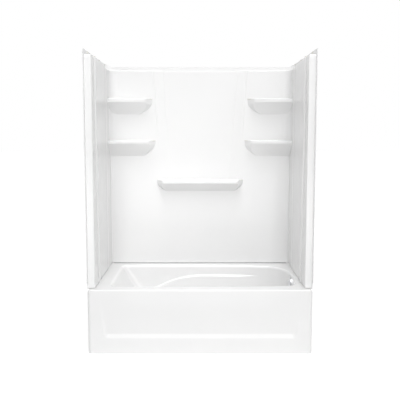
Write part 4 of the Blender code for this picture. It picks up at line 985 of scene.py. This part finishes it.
def build_back(materials):
    def row(plan, z):
        return spots(plan[:, 0], plan[:, 1], z)

    def edge_pull(plan):
        seam = SEAM_D + SEAM_SEAL_T
        pull = plan_normals(plan, 1.0)
        pull[plan[:, 1] < seam + TINY] = 0.0
        pull[(plan[:, 1] < seam + EDGE_R) & (pull[:, 1] != 0.0), 1] = 0.0
        return pull

    plan = full_plan(PANEL_BOTTOM_Z)
    pull = edge_pull(plan)
    rows = [row(plan - BACK_FOOT_R * (1 - math.sin(angle)) * pull,
                PANEL_BOTTOM_Z + BACK_FOOT_R * (1 - math.cos(angle)))
            for angle in np.radians(np.linspace(0, 75, 6))]
    rows += [row(full_plan(z, shelf, share), z) for z, shelf, share in back_levels()]
    plan = full_plan(BACK_MOULDED_TOP)
    pull = edge_pull(plan)
    for angle in np.radians(np.linspace(0, 90, TOP_ROWS)):
        eased = plan - BACK_TOP_R * (1 - math.cos(angle)) * pull
        eased[:, 1] = np.minimum(eased[:, 1], FLANGE_D)
        rows.append(row(eased, BACK_MOULDED_TOP - BACK_TOP_R * (1 - math.sin(angle))))
    half = half_plan(BACK_MOULDED_TOP, None, 0.0)
    flat_from = len(half) - len(wall_stations(BACK_MOULDED_TOP, None, 0.0))
    outer = flange_plan(plan, flat_from - COVE_STEPS, flat_from)
    for t in (0.5, 0.92):
        rows.append(row(mix(eased, outer, t), BACK_MOULDED_TOP))
    rows.append(row(outer, BACK_MOULDED_TOP + FLANGE_STEP_Z))
    for t in (0.3, 0.65, 1.0):
        rows.append(row(outer, mix(BACK_MOULDED_TOP, back_flange_top(outer[:, 0]), t)))
    sheet = Sheet()
    sheet.add(rows)
    return sheet.shell("back_wall", PANEL_T, (0.45, y_at(WALL_D), 0.7), (0, -1, 0), materials,
                       PANEL_BOTTOM_Z)


# Materials

class Skin:
    """A procedural material round one Principled shader, in the object's own metres."""

    def __init__(self, name):
        self.made = bpy.data.materials.new(name)
        self.made.use_nodes = True
        self.nodes, self.links = self.made.node_tree.nodes, self.made.node_tree.links
        self.shader = self.nodes["Principled BSDF"]
        self.normal = None

    def plain(self, **values):
        """Values that are the same all over, set on the shader's own sockets."""
        for key, value in values.items():
            self.shader.inputs[key.replace("_", " ")].default_value = value

    def texture(self, kind, scale, stretch=(1, 1, 1), **values):
        place = self.nodes.new("ShaderNodeTexCoord")
        turn = self.nodes.new("ShaderNodeMapping")
        turn.inputs["Scale"].default_value = stretch
        self.links.new(place.outputs["Object"], turn.inputs["Vector"])
        made = self.nodes.new(kind)
        made.inputs["Scale"].default_value = scale
        for key, value in values.items():
            made.inputs[key].default_value = value
        self.links.new(turn.outputs["Vector"], made.inputs["Vector"])
        return made.outputs

    def noise(self, scale, detail, stretch=(1, 1, 1), **values):
        return self.texture("ShaderNodeTexNoise", scale, stretch, Detail=detail, **values)["Fac"]

    def blend(self, a, b, share):
        made = self.nodes.new("ShaderNodeMix")
        made.data_type = "FLOAT"
        made.inputs["Factor"].default_value = share
        self.links.new(a, made.inputs["A"])
        self.links.new(b, made.inputs["B"])
        return made.outputs["Result"]

    def colour(self, source, *stops):
        """Base colour from (place, colour) stops along a texture."""
        made = self.nodes.new("ShaderNodeValToRGB")
        self.links.new(source, made.inputs["Fac"])
        while len(made.color_ramp.elements) < len(stops):
            made.color_ramp.elements.new(0.5)
        for element, (place, colour) in zip(made.color_ramp.elements, stops):
            element.position = place
            element.color = (*colour, 1.0)
        self.links.new(made.outputs["Color"], self.shader.inputs["Base Color"])

    def roughness(self, source, low, high):
        made = self.nodes.new("ShaderNodeMapRange")
        self.links.new(source, made.inputs["Value"])
        made.inputs["To Min"].default_value = low
        made.inputs["To Max"].default_value = high
        self.links.new(made.outputs["Result"], self.shader.inputs["Roughness"])

    def relief(self, source, height):
        """Raise the surface by up to a height; each relief goes over the ones before it."""
        made = self.nodes.new("ShaderNodeBump")
        made.inputs["Distance"].default_value = height
        self.links.new(source, made.inputs["Height"])
        if self.normal is not None:
            self.links.new(self.normal, made.inputs["Normal"])
        self.normal = made.outputs["Normal"]
        self.links.new(self.normal, self.shader.inputs["Normal"])


def acrylic():
    skin = Skin("white_acrylic")
    skin.colour(skin.noise(2.2, 3.0), (0.3, (0.835, 0.835, 0.835)), (0.7, (0.850, 0.850, 0.848)))
    skin.roughness(skin.noise(9.0, 4.0), 0.16, 0.26)
    skin.relief(skin.noise(14.0, 1.0), 0.0006)
    skin.relief(skin.noise(260.0, 2.0), 0.00002)
    skin.plain(IOR=1.49, Coat_Weight=0.25, Coat_Roughness=0.08)
    return skin.made


def fibreglass():
    """The rough backing sprayed behind the acrylic."""
    skin = Skin("fibreglass_back")
    lay = skin.texture("ShaderNodeTexVoronoi", 55.0, (1.0, 1.0, 0.35))["Distance"]
    blots = skin.noise(7.0, 5.0)
    mixed = skin.blend(blots, lay, 0.45)
    skin.colour(mixed, (0.2, (0.58, 0.57, 0.50)), (0.5, (0.68, 0.67, 0.61)),
                (0.8, (0.76, 0.75, 0.70)))
    skin.roughness(blots, 0.45, 0.70)
    skin.relief(mixed, 0.002)
    skin.relief(skin.noise(90.0, 6.0), 0.0008)
    return skin.made


def softwood(axis):
    """Sawn timber whose grain runs along an axis."""
    skin = Skin("softwood_" + axis)
    along = {"x": (0.045, 1.0, 1.0), "y": (1.0, 0.045, 1.0), "z": (1.0, 1.0, 0.045)}[axis]
    rings = skin.noise(75.0, 3.0, along, Distortion=0.8)
    fibre = skin.noise(420.0, 2.0, along)
    skin.colour(rings, (0.30, (0.70, 0.52, 0.32)), (0.50, (0.62, 0.43, 0.24)),
                (0.62, (0.47, 0.29, 0.14)))
    skin.roughness(fibre, 0.62, 0.85)
    skin.relief(rings, 0.0006)
    skin.relief(fibre, 0.0004)
    return skin.made


def strand_board():
    skin = Skin("strand_board")
    flakes = skin.texture("ShaderNodeTexVoronoi", 38.0, (1.0, 0.6, 0.45))["Color"]
    tone = skin.nodes.new("ShaderNodeSeparateColor")
    skin.links.new(flakes, tone.inputs["Color"])
    grain = skin.noise(160.0, 3.0, (0.25, 1.0, 1.0))
    mixed = skin.blend(tone.outputs["Red"], grain, 0.35)
    skin.colour(mixed, (0.1, (0.34, 0.22, 0.11)), (0.5, (0.55, 0.40, 0.23)),
                (0.9, (0.68, 0.54, 0.35)))
    skin.roughness(grain, 0.60, 0.88)
    skin.relief(mixed, 0.0008)
    return skin.made


def matt(name, dark, light, roughness, scale, depth):
    """Foam or rubber: two close tones, a matt finish and a fine pitted surface."""
    skin = Skin(name)
    cloud = skin.noise(scale * 0.2, 4.0)
    skin.colour(cloud, (0.3, dark), (0.7, light))
    skin.roughness(cloud, *roughness)
    skin.relief(skin.noise(scale, 3.0), depth)
    return skin.made


def metal(name, dark, light, roughness, scale, depth):
    skin = Skin(name)
    cloud = skin.noise(scale, 5.0)
    skin.colour(cloud, (0.35, dark), (0.65, light))
    skin.roughness(cloud, *roughness)
    skin.relief(cloud, depth)
    skin.plain(Metallic=1.0)
    return skin.made


def pipe_plastic():
    skin = Skin("pipe_plastic")
    cloud = skin.noise(18.0, 5.0)
    skin.colour(cloud, (0.3, (0.78, 0.78, 0.75)), (0.7, (0.84, 0.84, 0.81)))
    skin.roughness(cloud, 0.30, 0.45)
    skin.relief(skin.noise(300.0, 2.0), 0.00005)
    return skin.made


# Carried-over solids

def dress(names, material, bevel):
    """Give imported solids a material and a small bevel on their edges."""
    for name in names:
        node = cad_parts[name]
        node.data.materials.clear()
        node.data.materials.append(material)
        if bevel > 0.0:
            edge = node.modifiers.new("edges", "BEVEL")
            edge.width = bevel
            edge.segments = BEVEL_SEGMENTS
            edge.limit_method = "ANGLE"
            edge.angle_limit = BEVEL_FROM_ANGLE


def dress_solids():
    def starting(*words):
        return [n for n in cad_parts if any(w in n for w in words)]

    foam = matt("seal_foam", (0.25, 0.25, 0.26), (0.33, 0.33, 0.34), (0.80, 0.95), 500.0, 0.0003)
    rubber = matt("black_rubber", (0.020, 0.020, 0.021), (0.035, 0.035, 0.036), (0.45, 0.65),
                  700.0, 0.00008)
    zinc = metal("zinc_steel", (0.52, 0.53, 0.52), (0.66, 0.67, 0.66), (0.28, 0.48), 120.0,
                 0.00005)
    chrome = metal("chrome", (0.76, 0.77, 0.79), (0.82, 0.83, 0.85), (0.05, 0.12), 90.0, 0.00001)
    dress(["front_rim_batten", "back_rim_batten"], softwood("x"), TIMBER_BEVEL)
    dress(starting("floor_bearer", "left_rim_batten", "right_rim_batten"), softwood("y"),
          TIMBER_BEVEL)
    dress(starting("apron_post"), softwood("z"), TIMBER_BEVEL)
    dress(starting("board"), strand_board(), BOARD_BEVEL)
    dress(starting("wall_seal", "corner_seal"), foam, 0.0)
    dress(["stopper_seal", "drain_gasket", "overflow_gasket"], rubber, RUBBER_BEVEL)
    dress(starting("seam_bolt", "seam_nut", "stopper_stem"), zinc, METAL_BEVEL)
    dress(starting("drain_strainer", "drain_stopper", "overflow_plate", "overflow_screw"), chrome,
          METAL_BEVEL)
    dress(starting("drain_shoe", "waste_pipe", "waste_tee", "slip_nut", "overflow_pipe",
                   "overflow_elbow"), pipe_plastic(), PIPE_BEVEL)


# Stage

def seen_directly(nodes, links):
    """1 for camera, mirror and glass rays, and 0 for the rays that light the scene."""
    path = nodes.new("ShaderNodeLightPath")
    seen = path.outputs["Is Camera Ray"]
    for ray in ("Is Glossy Ray", "Is Transmission Ray"):
        either = nodes.new("ShaderNodeMath")
        either.operation = "MAXIMUM"
        links.new(seen, either.inputs[0])
        links.new(path.outputs[ray], either.inputs[1])
        seen = either.outputs[0]
    return seen


def build_world():
    world = bpy.data.worlds.new("studio")
    bpy.context.scene.world = world
    world.use_nodes = True
    nodes, links = world.node_tree.nodes, world.node_tree.links
    light = nodes["Background"]
    light.inputs["Color"].default_value = (1.0, 1.0, 1.0, 1.0)
    light.inputs["Strength"].default_value = WORLD_LIGHT
    white = nodes.new("ShaderNodeBackground")
    white.inputs["Color"].default_value = (1.0, 1.0, 1.0, 1.0)
    white.inputs["Strength"].default_value = 1.0
    pick = nodes.new("ShaderNodeMixShader")
    links.new(seen_directly(nodes, links), pick.inputs["Fac"])
    links.new(light.outputs[0], pick.inputs[1])
    links.new(white.outputs[0], pick.inputs[2])
    links.new(pick.outputs[0], nodes["World Output"].inputs["Surface"])


def build_floor():
    """A pale floor that the camera sees as white, apart from the object's shadow on it."""
    bm = bmesh.new()
    bmesh.ops.create_grid(bm, x_segments=8, y_segments=8, size=FLOOR_HALF)
    mesh = bpy.data.meshes.new("floor")
    bm.to_mesh(mesh)
    bm.free()
    floor = bpy.data.objects.new("floor", mesh)
    floor.location.z = -FLOOR_GAP
    bpy.context.scene.collection.objects.link(floor)
    skin = Skin("pale_floor")
    skin.plain(Base_Color=(0.80, 0.80, 0.80, 1.0), Roughness=0.9, Specular_IOR_Level=0.1)
    nodes, links = skin.nodes, skin.links
    shade = nodes.new("ShaderNodeBsdfDiffuse")
    shade.inputs["Color"].default_value = (FLOOR_SHADE, FLOOR_SHADE, FLOOR_SHADE, 1.0)
    glow = nodes.new("ShaderNodeEmission")
    glow.inputs["Strength"].default_value = FLOOR_GLOW
    both = nodes.new("ShaderNodeAddShader")
    links.new(shade.outputs[0], both.inputs[0])
    links.new(glow.outputs[0], both.inputs[1])
    pick = nodes.new("ShaderNodeMixShader")
    links.new(seen_directly(nodes, links), pick.inputs["Fac"])
    links.new(skin.shader.outputs[0], pick.inputs[1])
    links.new(both.outputs[0], pick.inputs[2])
    links.new(pick.outputs[0], nodes["Material Output"].inputs["Surface"])
    mesh.materials.append(skin.made)


def area_light(name, place, target, size, power, beam=180.0):
    """A soft box of a size and power, aimed at a target; its beam is in degrees."""
    data = bpy.data.lights.new(name, "AREA")
    data.shape = "RECTANGLE"
    data.size, data.size_y = size
    data.energy = power
    data.spread = math.radians(beam)
    made = bpy.data.objects.new(name, data)
    made.location = place
    made.rotation_euler = (Vector(target) - Vector(place)).to_track_quat("-Z", "Y").to_euler()
    bpy.context.scene.collection.objects.link(made)


def sun(name, azimuth, elevation, energy, spread_angle):
    """Soft light from far away; its azimuth is measured from the front towards the drain end."""
    azimuth, elevation = math.radians(azimuth), math.radians(elevation)
    level = math.cos(elevation)
    way = Vector((math.sin(azimuth) * level, -math.cos(azimuth) * level, math.sin(elevation)))
    data = bpy.data.lights.new(name, "SUN")
    data.energy = energy
    data.angle = math.radians(spread_angle)
    made = bpy.data.objects.new(name, data)
    made.rotation_euler = way.to_track_quat("Z", "Y").to_euler()
    bpy.context.scene.collection.objects.link(made)


def build_lights():
    area_light("near_top", (0.0, -1.6, 3.0), (0.0, 0.3, 0.9), (1.4, 0.6), 9.2)
    area_light("low_front", (0.0, -3.8, 0.5), (0.0, 0.0, 0.6), (3.0, 0.8), 9.0)
    area_light("from_floor", (0.0, -1.3, 0.12), (0.0, 0.3, 1.45), (1.3, 0.3), 0.38, 45.0)
    sun("overhead", 0.0, 82.0, 0.62, 28.0)
    sun("high", 0.0, 62.0, 0.88, 24.0)
    sun("low", 0.0, 25.0, 0.49, 20.0)
    sun("wide_right", 35.0, 25.0, 0.36, 30.0)


def build_camera():
    """The photograph's own view: fitted to the deck, the panel tops and the upright seams."""
    data = bpy.data.cameras.new("camera")
    data.sensor_width = SENSOR
    data.lens = FOCAL_LENGTH * SENSOR / PHOTO_HEIGHT
    data.shift_y = VIEW_SHIFT / PHOTO_HEIGHT
    camera = bpy.data.objects.new("camera", data)
    camera.location = CAMERA_PLACE
    camera.rotation_euler = (math.radians(90.0 - CAMERA_DIP), 0.0, 0.0)
    bpy.context.scene.collection.objects.link(camera)
    bpy.context.scene.camera = camera


def main():
    scene = bpy.context.scene
    scene.view_settings.view_transform = "Standard"
    shells = [acrylic(), fibreglass()]
    pieces = {
        "tub_shell": build_tub(shells),
        "left_wall_panel": build_side("left_wall", -1, shells),
        "right_wall_panel": build_side("right_wall", 1, shells),
        "back_wall_panel": build_back(shells),
    }
    for node, piece in pieces.items():
        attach(piece, "unit")
        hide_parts(node)
    dress_solids()
    build_world()
    build_floor()
    build_lights()
    build_camera()


main()
